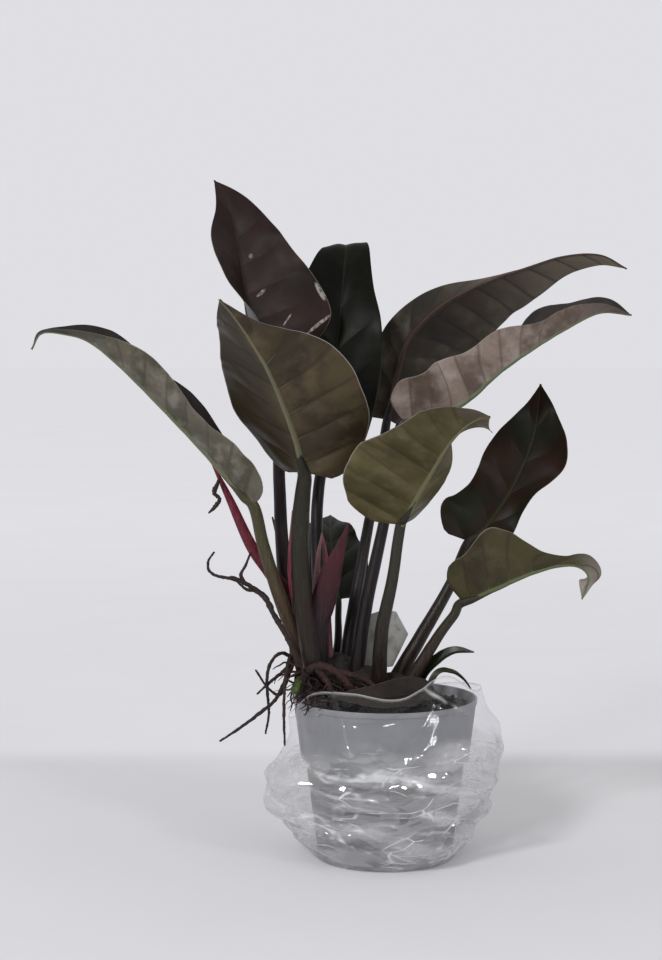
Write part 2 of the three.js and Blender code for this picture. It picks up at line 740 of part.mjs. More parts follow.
const LOOKS = {
  pot: ['#8b8b90', 0.6],
  soil: ['#2d211a', 0.95],
  wrap: ['#e6e8ea', 0.15],
  upper: ['#2b2723', CUTICLE],
  under: ['#565243', 0.55],
  stalk: ['#4d5540', 0.45],
  darkStalk: ['#2c262a', 0.45],
  crimson: ['#7a1e33', 0.45],
  pink: ['#a8505e', 0.5],
  papery: ['#6e5f66', 0.7],
  basal: ['#2f3a26', 0.45],
  root: ['#4a3328', 0.85],
  crown: ['#4b3538', 0.8],
  label: ['#c9cbcc', 0.5],
};

function material(look) {
  const [color, roughness] = LOOKS[look];
  return new THREE.MeshStandardMaterial({ color, roughness, metalness: 0 });
}

const plant = new THREE.Group();

function place(name, geometry, look) {
  const mesh = new THREE.Mesh(geometry, material(look));
  mesh.name = name;
  plant.add(mesh);
}

const DARK_STALKS = ['tallest', 'upright', 'high_right', 'mid_right', 'small_back'];
const standing = Object.values(stalks);
const sheathList = Object.values(sheaths);
const basalList = Object.values(basal);
const crownShape = cutAway(joined(crown), [...standing, ...sheathList, ...basalList, stakeSlot]);
const soilShape = cutAway(
  toManifold(soil()),
  [...crown, ...basalList, ...surfaceRoots, stakeSlot],
);

place('pot', pot(), 'pot');
place('soil', fromManifold(soilShape), 'soil');
place('clear_wrap', clearWrap(), 'wrap');
place('crown', fromManifold(crownShape), 'crown');
for (const [name, leaf] of Object.entries(LEAVES)) {
  const stalkLook = DARK_STALKS.includes(name) ? 'darkStalk' : 'stalk';
  place(`stalk_${name}`, stalks[name](), stalkLook);
  place(`blade_${name}`, blade(leaf), leaf.look);
}
for (const [name, shape] of Object.entries(sheaths)) {
  const look = name.includes('crimson') ? 'crimson' : 'pink';
  place(name, shape(), name.includes('papery') ? 'papery' : look);
}
for (const [name, shape] of Object.entries(basal)) {
  place(name, shape(), 'basal');
}
const clearOfRoots = [...standing, ...sheathList, ...crown, basal.stem_stub];
place('hanging_roots', fromManifold(cutAway(joined(hangingRoots), clearOfRoots)), 'root');
const clearOfUpper = [...clearOfRoots, ...surfaceRoots];
place('upper_roots', fromManifold(cutAway(joined(upperRoots), clearOfUpper)), 'root');
place('surface_roots', fromManifold(cutAway(joined(surfaceRoots), clearOfRoots)), 'root');
place('shrivelled_tip', shrivelledTip(), 'root');
place('plant_label', label(), 'label');

export default plant;
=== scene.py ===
import math

import bpy
import numpy as np
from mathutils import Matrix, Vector


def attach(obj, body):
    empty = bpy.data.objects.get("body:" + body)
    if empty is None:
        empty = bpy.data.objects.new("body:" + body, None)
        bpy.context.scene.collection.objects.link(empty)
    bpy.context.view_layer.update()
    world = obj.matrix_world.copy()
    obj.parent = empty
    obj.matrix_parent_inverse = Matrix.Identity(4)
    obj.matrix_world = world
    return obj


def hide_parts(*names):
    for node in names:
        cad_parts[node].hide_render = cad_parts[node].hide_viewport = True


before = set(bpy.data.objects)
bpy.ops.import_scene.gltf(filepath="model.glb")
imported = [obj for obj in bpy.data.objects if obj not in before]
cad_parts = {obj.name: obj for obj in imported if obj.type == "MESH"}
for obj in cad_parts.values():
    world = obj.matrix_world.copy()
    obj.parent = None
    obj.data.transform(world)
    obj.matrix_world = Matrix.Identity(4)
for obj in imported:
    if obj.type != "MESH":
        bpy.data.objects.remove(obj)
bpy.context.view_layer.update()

MM = 0.001

# Curves, noise and small number helpers


def unit(v):
    return v / np.maximum(np.linalg.norm(v, axis=-1, keepdims=True), 1e-9)


def spline(points, u):
    """The smooth curve through points or values that lie at even steps, at each u from 0 to 1."""
    p = np.asarray(points, float)
    p = p[:, None] if p.ndim == 1 else p
    last = len(p) - 1
    if last == 0:
        return np.repeat(p, len(u), axis=0)
    x = np.clip(u, 0, 1) * last
    i = np.clip(np.floor(x).astype(int), 0, last - 1)
    f = (x - i)[:, None]
    q = np.vstack([2 * p[0] - p[1], p, 2 * p[-1] - p[-2]])
    a, b, c, d = q[i], q[i + 1], q[i + 2], q[i + 3]
    return b + 0.5 * ((c - a) * f + (2 * a - 5 * b + 4 * c - d) * f**2 + (3 * b - a - 3 * c + d) * f**3)


def along(values, t):
    """A list of values read as a smooth curve, at each t from 0 to 1."""
    t = np.atleast_1d(t)
    return spline(values, t.ravel())[:, 0].reshape(t.shape)


class Curve:
    """A smooth curve through points, read at even steps of its length."""

    STEPS = 900

    def __init__(self, points):
        self.points = np.asarray(points, float)
        self.u = np.linspace(0, 1, self.STEPS)
        line = spline(self.points, self.u)
        run = np.r_[0, np.cumsum(np.linalg.norm(np.diff(line, axis=0), axis=1))]
        self.length = run[-1]
        self.share = run / run[-1]

    def at(self, t):
        return spline(self.points, np.interp(t, self.share, self.u))

    def tangent(self, t):
        step = 1e-3
        return unit(self.at(np.minimum(t + step, 1)) - self.at(np.maximum(t - step, 0)))


def noise(points, size, seed=0):
    """Smooth values from -1 to 1 with bumps about that size, in the points' own units."""
    p = np.asarray(points, float) / size + 31.7 * seed + 1000
    cell = np.floor(p).astype(np.int64)
    f = p - cell
    f = f * f * (3 - 2 * f)
    total = np.zeros(p.shape[:-1])
    for corner in np.ndindex(2, 2, 2):
        c = cell + corner
        h = c[..., 0] * 374761393 + c[..., 1] * 668265263 + c[..., 2] * 1440662683
        h = ((h ^ (h >> 13)) & 0xFFFFFFFF) * 1274126177
        value = ((h ^ (h >> 16)) & 0xFFFF) / 32767.5 - 1
        total += value * np.prod(np.where(corner, f, 1 - f), axis=-1)
    return total


def smooth(low, high, x):
    """From 0 at low to 1 at high, eased at both ends."""
    x = np.clip((x - low) / (high - low), 0, 1)
    return x * x * (3 - 2 * x)


# Meshes


def placed(name, data):
    """A new object in the scene, at the origin."""
    thing = bpy.data.objects.new(name, data)
    bpy.context.scene.collection.objects.link(thing)
    return thing


def grid_faces(rows, columns, closed=False, start=0, flip=False):
    """Quads over a grid of points, joined round to the first column where closed."""
    i, j = np.mgrid[0 : rows - 1, 0 : columns if closed else columns - 1]
    a = i * columns + j
    b = i * columns + (j + 1) % columns
    quads = np.stack([a, b, b + columns, a + columns], axis=-1).reshape(-1, 4) + start
    return quads[:, ::-1] if flip else quads


def merged(parts):
    """One set of vertices and faces from several, and of what each vertex has been given."""
    vertices, faces, fields, start = [], [], [], 0
    for v, f, *field in parts:
        vertices.append(np.asarray(v, float))
        faces += [[int(k) + start for k in face] for face in f]
        fields += field
        start += len(v)
    return (np.vstack(vertices), faces, *([np.vstack(fields)] if fields else []))


def piece(name, shape, looks, nodes=(), look_of=None, fields=None, smooth_faces=True):
    """Makes one shown piece. look_of numbers each face's look, and fields are its values at each point."""
    vertices, faces, *run = shape
    mesh = bpy.data.meshes.new(name)
    mesh.from_pydata((np.asarray(vertices) * MM).tolist(), [], [list(map(int, f)) for f in faces])
    mesh.update()
    for look in looks if isinstance(looks, list) else [looks]:
        mesh.materials.append(look)
    if look_of is not None:
        mesh.polygons.foreach_set("material_index", np.asarray(look_of, np.int32))
    mesh.polygons.foreach_set("use_smooth", [smooth_faces] * len(mesh.polygons))
    for field, values in (fields or ({"run": run[0]} if run else {})).items():
        made = mesh.attributes.new(field, "FLOAT_VECTOR", "POINT")
        made.data.foreach_set("vector", np.asarray(values, np.float32).ravel())
    thing = placed(name, mesh)
    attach(thing, "root")
    if nodes:
        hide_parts(*nodes)
    return thing


def tube(points, radii, sides=24, rings=60, flat=1.0, face=(0, -1, 0.02), relief=None):
    """A closed tube along a curve, with rounded ends. relief gives, for each ring and each
    way round, what the radius is multiplied by."""
    curve = Curve(points)
    t = np.linspace(0, 1, rings)
    centre, tangent = curve.at(t), curve.tangent(t)
    across = unit(np.cross(tangent, np.asarray(face, float)))
    front = unit(np.cross(across, tangent))
    radius = np.maximum(along(radii, t), 0.25)
    angle = np.linspace(0, 2 * np.pi, sides, endpoint=False)
    scale = np.ones((rings, sides)) if relief is None else relief(t[:, None], angle[None, :])
    r = radius[:, None] * scale
    ring = centre[:, None] + across[:, None] * (np.cos(angle) * r)[..., None]
    ring = ring + front[:, None] * (np.sin(angle) * r * flat)[..., None]
    caps = []
    for end, way in ((0, -1), (rings - 1, 1)):
        cap = []
        for turn in (0.35, 0.65, 0.9):
            rim = centre[end] + (ring[end] - centre[end]) * math.cos(turn * math.pi / 2)
            cap.append(rim + tangent[end] * way * radius[end] * flat * 0.6 * math.sin(turn * math.pi / 2))
        caps.append(cap)
    rows = np.concatenate([caps[0][::-1], ring, caps[1]])
    count = len(rows)
    quads = grid_faces(count, sides, closed=True, flip=True)
    start = list(range(sides))
    end = [(count - 1) * sides + k for k in reversed(range(sides))]
    share = np.r_[0, 0, 0, t, 1, 1, 1]
    run = np.stack(np.broadcast_arrays(share[:, None], np.cos(angle), np.sin(angle)), axis=-1)
    return rows.reshape(-1, 3), quads.tolist() + [start, end], run.reshape(-1, 3)


# Node materials


def linear(code):
    """A colour written as six hex digits, as the shader's own linear numbers."""
    parts = [int(code[i : i + 2], 16) / 255 for i in (0, 2, 4)]
    return tuple(c / 12.92 if c <= 0.04045 else ((c + 0.055) / 1.055) ** 2.4 for c in parts) + (1.0,)


class Look:
    """A material that is built up from nodes."""

    def __init__(self, name, roughness=0.5, **sockets):
        self.material = bpy.data.materials.new(name)
        self.material.use_nodes = True
        self.nodes = self.material.node_tree.nodes
        self.links = self.material.node_tree.links
        self.shader = self.nodes["Principled BSDF"]
        self.shader.inputs["Roughness"].default_value = roughness
        for socket, value in sockets.items():
            self.shader.inputs[socket.replace("_", " ")].default_value = value
        self.place = self.node("ShaderNodeTexCoord").outputs["Object"]

    def node(self, kind, **settings):
        made = self.nodes.new(kind)
        for key, value in settings.items():
            setattr(made, key, value)
        return made

    def feed(self, socket, value):
        if isinstance(value, bpy.types.NodeSocket):
            self.links.new(value, socket)
        else:
            socket.default_value = value

    def noise(self, scale, detail=3.0, rough=0.5, stretch=None, warp=0.0):
        made = self.node("ShaderNodeTexNoise")
        self.feed(made.inputs["Vector"], self.place if stretch is None else self.stretched(stretch))
        made.inputs["Scale"].default_value = scale
        made.inputs["Detail"].default_value = detail
        made.inputs["Roughness"].default_value = rough
        made.inputs["Distortion"].default_value = warp
        return made.outputs["Fac"]

    def stretched(self, scale, source=None):
        """The place, or the source that is given, with each axis multiplied by its own scale."""
        made = self.node("ShaderNodeMapping")
        self.feed(made.inputs["Vector"], source or self.place)
        made.inputs["Scale"].default_value = scale
        return made.outputs["Vector"]

    def math(self, operation, a, b=0.0, c=0.0):
        made = self.node("ShaderNodeMath", operation=operation)
        for socket, value in zip(made.inputs, (a, b, c)):
            self.feed(socket, value)
        return made.outputs[0]

    def plus(self, a, b):
        return self.math("ADD", a, b)

    def times(self, a, b):
        return self.math("MULTIPLY", a, b)

    def times_plus(self, a, b, c):
        return self.math("MULTIPLY_ADD", a, b, c)

    def most(self, a, b):
        return self.math("MAXIMUM", a, b)

    def step(self, value, low, high, out_low=0.0, out_high=1.0):
        """value, smoothly from out_low at low to out_high at high."""
        made = self.node("ShaderNodeMapRange", interpolation_type="SMOOTHSTEP")
        for socket, given in zip(made.inputs, (value, low, high, out_low, out_high)):
            self.feed(socket, given)
        return made.outputs[0]

    def mix(self, share, a, b):
        made = self.node("ShaderNodeMix", data_type="RGBA", blend_type="MIX", clamp_factor=True)
        self.feed(made.inputs["Factor"], share)
        self.feed(made.inputs[6], linear(a) if isinstance(a, str) else a)
        self.feed(made.inputs[7], linear(b) if isinstance(b, str) else b)
        return made.outputs[2]

    def bump(self, height, distance, strength):
        made = self.node("ShaderNodeBump")
        made.inputs["Strength"].default_value = strength
        made.inputs["Distance"].default_value = distance
        self.feed(made.inputs["Height"], height)
        return made.outputs["Normal"]

    def field(self, name):
        """The three values of a piece's field."""
        made = self.node("ShaderNodeAttribute", attribute_name=name)
        parts = self.node("ShaderNodeSeparateXYZ")
        self.links.new(made.outputs["Vector"], parts.inputs[0])
        return parts.outputs

    def finish(self, color, roughness=None, normal=None):
        self.feed(self.shader.inputs["Base Color"], color)
        if roughness is not None:
            self.feed(self.shader.inputs["Roughness"], roughness)
        if normal is not None:
            self.feed(self.shader.inputs["Normal"], normal)
        return self.material


RIM_WIDTH = 0.016
SCAR_COLOR = "b8b0a9"
# How many millimetres of the scarred blade a column and the whole share stand for
SCARRED_BLADE = (80, 310)


def blade_look(name, body, shade, bloom, rib, rim, gloss, upper=False, shine=0.28, **more):
    """A leaf face. The field leaf holds the column across, the share along and the vein count.

    What more can hold: warm, a colour beside the midrib; tip, the share where a tip colour starts
    and that colour, which on some blades is painted light or painted shade; dim, painted shade: a darker
    colour over the half on the side of the high columns; and marks,
    small pale scars, each as its column and share, half its length and width in mm, and its turn.
    """
    look = Look(name, roughness=gloss, Specular_IOR_Level=shine)
    column, share, vein = look.field("leaf")
    distance = look.math("ABSOLUTE", column)
    across = look.most(look.math("SUBTRACT", distance, 1.0), 0.0)
    count = look.plus(vein, 50.0)
    to_vein = look.math("PINGPONG", count, 0.5)
    panel = look.math("SINE", look.times(look.math("FLOOR", count), 2.4))
    patches = look.noise(14.0, 4.0, 0.55, warp=0.6)
    fine = look.noise(420.0, 4.0, 0.6)
    streaks = look.times(look.plus(vein, look.times(patches, 0.35)), 62.0)
    fibres = look.math("SINE", streaks)
    tone = look.plus(patches, look.times(panel, 0.07))
    color = look.mix(look.step(tone, 0.34, 0.64), body, shade)
    color = look.mix(look.step(look.noise(36.0, 3.0, 0.6), 0.42, 0.75, 0.0, 0.45), color, bloom)
    if "warm" in more:
        color = look.mix(look.step(across, 0.0, 0.5, 0.75, 0.0), color, more["warm"])
    # A tip colour; on some blades it is painted light or painted shade
    if "tip" in more:
        start, tip = more["tip"]
        color = look.mix(look.step(share, start, 0.95, 0.0, 0.85), color, tip)
    # Painted shade: a darker colour over the half on the side of the high columns
    if "painted_shade_half" in more:
        color = look.mix(look.step(column, 0.9, 1.3, 0.0, 0.85), color, more["painted_shade_half"])
    color = look.mix(look.step(fine, 0.35, 0.7, 0.0, 0.16), color, shade)
    color = look.mix(look.step(fibres, 0.2, 1.0, 0.0, 0.045), color, bloom)
    # Darker along the vein grooves: painted shade there, and partly the leaf's own darker veins
    groove = look.step(to_vein, 0.0, 0.11, 1.0, 0.0)
    color = look.mix(look.times(groove, 0.35 if upper else 0.6), color, shade)
    near = look.step(across, 0.0, 0.7 if upper else 0.3, 1.0, 0.0)
    thread = look.times(look.step(to_vein, 0.006, 0.03, 1.0, 0.0), near)
    color = look.mix(look.times(thread, 0.2 if upper else 0.7), color, rib)
    on_rib = look.step(distance, 0.85, 1.03, 1.0, 0.0)
    color = look.mix(look.times(on_rib, 0.5 if upper else 0.95), color, rib)
    color = look.mix(look.step(across, 1 - RIM_WIDTH, 1 - 0.4 * RIM_WIDTH), color, rim)
    worn = look.step(look.noise(160.0, 3.0, 0.6), 0.38, 0.6, 0.25, 1.0)
    wide, tall = SCARRED_BLADE
    for x, y, length, width, turn in more.get("marks", ()):
        c, s = math.cos(math.radians(turn)), math.sin(math.radians(turn))
        spread = 0
        for to_right, up, size in ((wide * c, tall * s, length), (-wide * s, tall * c, width)):
            part = look.times_plus(share, up / size, -(x * to_right + y * up) / size)
            part = look.times_plus(column, to_right / size, part)
            spread = look.times_plus(part, part, spread)
        scar = look.times(look.step(spread, 0.3, 1.0, 0.85, 0.0), worn)
        color = look.mix(scar, color, SCAR_COLOR)
    relief = look.plus(look.times(fine, 0.35), look.times(fibres, 0.06))
    relief = look.plus(relief, look.times(thread, -0.6 if upper else 1.2))
    normal = look.bump(relief, 0.00035, 0.5)
    rough = look.plus(look.times(look.noise(60.0, 3.0), 0.2), gloss - 0.1)
    return look.finish(color, rough, normal)


def stalk_look(name, body, low, streak, gloss=0.42, turned=(0.08, 0.62)):
    """A stalk or sheath. The field run starts with the share along it, and turned is the stretch of
    that share over which the low colour turns into the body's."""
    look = Look(name, roughness=gloss, Specular_IOR_Level=0.3)
    share = look.field("run")[0]
    streaks = look.noise(1.0, 4.0, 0.6, stretch=(420.0, 420.0, 22.0))
    blotches = look.noise(30.0, 3.0, 0.6)
    along_it = look.plus(share, look.times(look.math("SUBTRACT", blotches, 0.5), 0.5))
    color = look.mix(look.step(along_it, *turned), low, body)
    color = look.mix(look.step(streaks, 0.45, 0.7, 0.0, 0.55), color, streak)
    color = look.mix(look.step(blotches, 0.5, 0.75, 0.0, 0.4), color, low)
    flecks = look.noise(1.0, 2.0, 0.5, stretch=(900.0, 900.0, 120.0))
    color = look.mix(look.step(flecks, 0.64, 0.74, 0.0, 0.5), color, streak)
    color = look.mix(look.step(look.noise(260.0, 3.0), 0.62, 0.7, 0.0, 0.35), color, low)
    relief = look.plus(streaks, look.times(flecks, 0.4))
    normal = look.bump(relief, 0.0007, 0.55)
    return look.finish(color, look.step(blotches, 0.3, 0.7, gloss - 0.08, gloss + 0.1), normal)


# The camera, as the marks of the measuring scale in the photo place it

CAMERA_LENS = 72.2
CAMERA_PLACE = (-0.066, -2.330, 0.620)
CAMERA_RISE = math.radians(86.1)


def camera():
    data = bpy.data.cameras.new("camera")
    data.lens = CAMERA_LENS
    data.sensor_width = 36
    data.clip_end = 200
    thing = placed("camera", data)
    thing.location = CAMERA_PLACE
    thing.rotation_euler = (CAMERA_RISE, 0, 0)
    bpy.context.scene.camera = thing


camera()

# Leaves: the same named values as the solids have, in millimetres

RIB_WIDTH = 3.2
RIB_DEPTH = 4.0
RIB_TIP = 0.5
NECK = 50
STALK_TAPER = [1.15, 1, 0.85, 0.78]

# What most leaves share: how their halves wave, how far their lobes reach back and the face they show
USUAL = dict(wave=[[3, 2, 0], [3, 3, 0.1]], lobe=20, look="under")
LEAVES = {
    "far_left": dict(
        spine=[
            [-160, -40, 433], [-186, -44, 462], [-218, -48, 500], [-266, -52, 551], [-315, -56, 600],
            [-350, -58, 628], [-378, -60, 637], [-406, -60, 638], [-418, -60, 619],
        ],
        faces=[[0.5, 0.4, 0.6], [0.6, 0.5, 0.6], [0.6, 0.45, 0.7], [0.3, 0.4, 0.9]],
        half=[[30, 40, 42, 42, 42, 42, 40, 30, 16, 7, 0], [30, 40, 42, 42, 42, 42, 40, 30, 16, 7, 0]],
        fold=[[10, 20, 20, 30], [70, 75, 75, 80]],
        curl=[[10, 0], [0, 10]],
        wave=[[7, 2, 0.05], [6, 2.5, 0.3]],
        lobe=10,
        creases=[8, 1],
        stalk=[[-94, -14, 232], [-109, -22, 274], [-127, -30, 321], [-146, -35, 381]],
        foot=9,
    ),
    "tallest": dict(
        spine=[
            [-132, 8, 524], [-150, 20, 582], [-165, 34, 643], [-173, 44, 695], [-181, 52, 745],
            [-190, 58, 790], [-210, 62, 827],
        ],
        faces=[[0.3, -0.9, 0.1], [0.35, -0.9, 0.1], [0.5, -0.8, 0.2]],
        half=[
            [40, 50, 55, 58, 58, 56, 52, 48, 36, 18, 0], [40, 52, 60, 80, 106, 108, 92, 68, 50, 27, 0],
        ],
        fold=[[78, 84, 80, 46, 12, 18], [5, 5, 10]],
        curl=[[0, 0], [-60, -10, 0]],
        wave=[[5, 2.5, 0.4], [3, 3, 0.1]],
        creases=[6, 0.8],
        stalk=[[-100, 18, 230], [-119, 13, 313], [-126, 10, 387], [-129, 9, 461]],
        foot=9,
        look="upper",
    ),
    "front_left": dict(
        spine=[
            [-98, -60, 472], [-107, -90, 514], [-121, -125, 556], [-137, -160, 596], [-156, -190, 630],
            [-173, -215, 656], [-187, -235, 673],
        ],
        faces=[[0.25, 0.85, 0.4], [0.25, 0.8, 0.5], [0.2, 0.75, 0.6]],
        half=[[55, 72, 86, 94, 94, 90, 76, 52, 26, 10, 0], [45, 66, 85, 98, 97, 89, 79, 66, 48, 26, 0]],
        fold=[[10, 10, 10], [20, 25, 30]],
        curl=[[10, 10], [10, 10]],
        wave=[[3, 2, 0], [4, 3, 0.1]],
        lobe=25,
        creases=[7, 1.2],
        stalk=[[-88, -37, 236], [-100, -39, 319], [-103, -46, 393], [-100, -54, 445]],
        foot=11.5,
        taper=[0.95, 1, 0.98, 0.74],
    ),
    "upright": dict(
        spine=[
            [-78, 60, 470], [-66, 85, 556], [-56, 110, 644], [-51, 130, 702], [-47, 155, 744],
            [-47, 185, 754], [-45, 215, 742], [-43, 235, 714],
        ],
        faces=[[0, -0.9, 0.2], [0.05, -0.9, 0.2], [0, -0.8, 0.6], [0, 0.2, 1]],
        half=[[45, 62, 66, 66, 64, 60, 52, 40, 26, 12, 0], [45, 62, 66, 66, 62, 54, 42, 34, 27, 14, 0]],
        fold=[[35, 30, 12, 10], [35, 30, 12, 10]],
        curl=[[15, -30], [15, -30]],
        wave=[[2, 2, 0], [4, 4, 0.1]],
        creases=[7, 0.8],
        stalk=[[-80, 22, 230], [-80, 30, 311], [-84, 45, 390], [-82, 55, 440]],
        foot=9,
        look="upper",
    ),
    "high_right": dict(
        spine=[
            [6, 140, 529], [20, 145, 590], [35, 140, 634], [75, 130, 674], [129, 115, 703],
            [178, 105, 720], [226, 100, 735], [271, 98, 737], [305, 96, 720],
        ],
        faces=[[-0.3, 0.85, 0.3], [-0.3, 0.85, 0.4], [-0.2, 0.85, 0.5], [-0.1, 0.85, 0.5]],
        half=[[40, 60, 80, 85, 82, 75, 60, 43, 30, 16, 0], [30, 40, 42, 40, 34, 28, 22, 18, 14, 8, 0]],
        fold=[[0, 0, 0, 0], [40, 70, 120, 130]],
        curl=[[10, 0], [0, 0]],
        wave=[[3, 4, 0], [3, 3, 0.1]],
        creases=[8, 1.4],
        stalk=[[-49, 20, 228], [-38, 30, 300], [-19, 75, 400], [-4, 115, 470]],
        foot=7.4,
    ),
    "mid_right": dict(
        spine=[
            [23, 20, 528], [67, 12, 541], [99, 6, 557], [138, 0, 592], [176, -4, 619], [217, -6, 644],
            [257, -8, 663], [295, -10, 660],
        ],
        faces=[[-0.5, 0.3, 0.8], [-0.5, 0.3, 0.85], [-0.4, 0.3, 0.85], [-0.2, 0.3, 0.9]],
        half=[[40, 52, 56, 54, 48, 46, 50, 58, 50, 30, 0], [44, 58, 62, 58, 50, 42, 33, 25, 18, 11, 0]],
        fold=[[40, 45, 50], [50, 55, 60]],
        curl=[[10, 10], [10, 10]],
        wave=[[4, 3, 0.3], [4, 4, 0.1]],
        creases=[8, 1.2],
        stalk=[[-35, -8, 228], [-25, -4, 300], [-1, 4, 412], [9, 12, 470]],
        foot=7.8,
    ),
    "front_centre": dict(
        spine=[
            [17, -60, 411], [28, -85, 435], [46, -120, 472], [67, -165, 513], [84, -192, 534],
            [97, -212, 543], [108, -226, 546],
        ],
        faces=[[0.1, 0.75, 0.6], [0.1, 0.7, 0.7], [0.1, 0.6, 0.8]],
        half=[[40, 46, 48, 46, 42, 36, 26, 21, 24, 25, 0], [60, 76, 90, 93, 89, 80, 66, 52, 42, 29, 0]],
        fold=[[55, 50, 52, 70, 30, -45], [0, 5, 10]],
        curl=[[0, 0], [5, 5]],
        creases=[6, 1],
        stalk=[[-8, -26, 222], [-5, -38, 283], [7, -48, 345]],
        foot=8.2,
    ),
    "low_right_back": dict(
        spine=[
            [105, 42, 380], [131, 52, 405], [155, 62, 438], [173, 72, 471], [187, 80, 506], [194, 86, 541],
            [197, 88, 576],
        ],
        faces=[[-0.1, -0.9, 0.3]],
        half=[[45, 58, 55, 50, 50, 52, 50, 43, 30, 14, 0], [30, 38, 36, 31, 34, 47, 56, 48, 33, 18, 0]],
        fold=[[10, 10, 10], [15, 20, 20]],
        curl=[[10, 10], [10, 10]],
        wave=[[4, 3, 0], [5, 3, 0.1]],
        lobe=25,
        creases=[5, 0.8],
        stalk=[[14, 4, 218], [49, 15, 276], [81, 28, 330]],
        foot=8.4,
        look="upper",
    ),
    "low_right_front": dict(
        spine=[
            [92, -30, 315], [112, -40, 325], [138, -49, 338], [170, -57, 353], [200, -65, 363],
            [224, -71, 364], [237, -77, 352], [229, -81, 326],
        ],
        faces=[[-0.3, 0.5, 0.8], [-0.3, 0.5, 0.8], [-0.1, 0.5, 0.8], [0.3, 0.5, 0.6]],
        half=[[30, 42, 50, 54, 50, 38, 18, 10, 15, 13, 0], [36, 50, 60, 68, 66, 46, 20, 10, 18, 15, 0]],
        fold=[[40, 45, 50], [45, 50, 50]],
        curl=[[0, 0], [10, 10]],
        lobe=15,
        creases=[5, 1],
        stalk=[[30, -18, 218], [63, -23, 273], [82, -27, 300]],
        foot=7.2,
    ),
    "small_back": dict(
        spine=[[-57, 60, 307], [-61, 90, 335], [-65, 130, 365], [-67, 170, 387], [-67, 210, 400]],
        faces=[[0, -0.7, 0.7], [0, -0.6, 0.8], [0, -0.5, 0.8]],
        half=[[35, 48, 52, 50, 44, 34, 18, 0], [30, 40, 44, 42, 36, 28, 14, 0]],
        fold=[[15, 15], [15, 15]],
        curl=[[0, 0], [0, 0]],
        creases=[5, 0.8],
        stalk=[[-60, 34, 232], [-57, 42, 262], [-57, 50, 286]],
        foot=5,
        look="upper",
    ),
}
LEAVES = {name: {**USUAL, **leaf} for name, leaf in LEAVES.items()}


# The first rows of a blade lie close together, where its foot is rounded
FOOT_SHARES = [0, 0.006, 0.013, 0.022, 0.032, 0.044, 0.057]


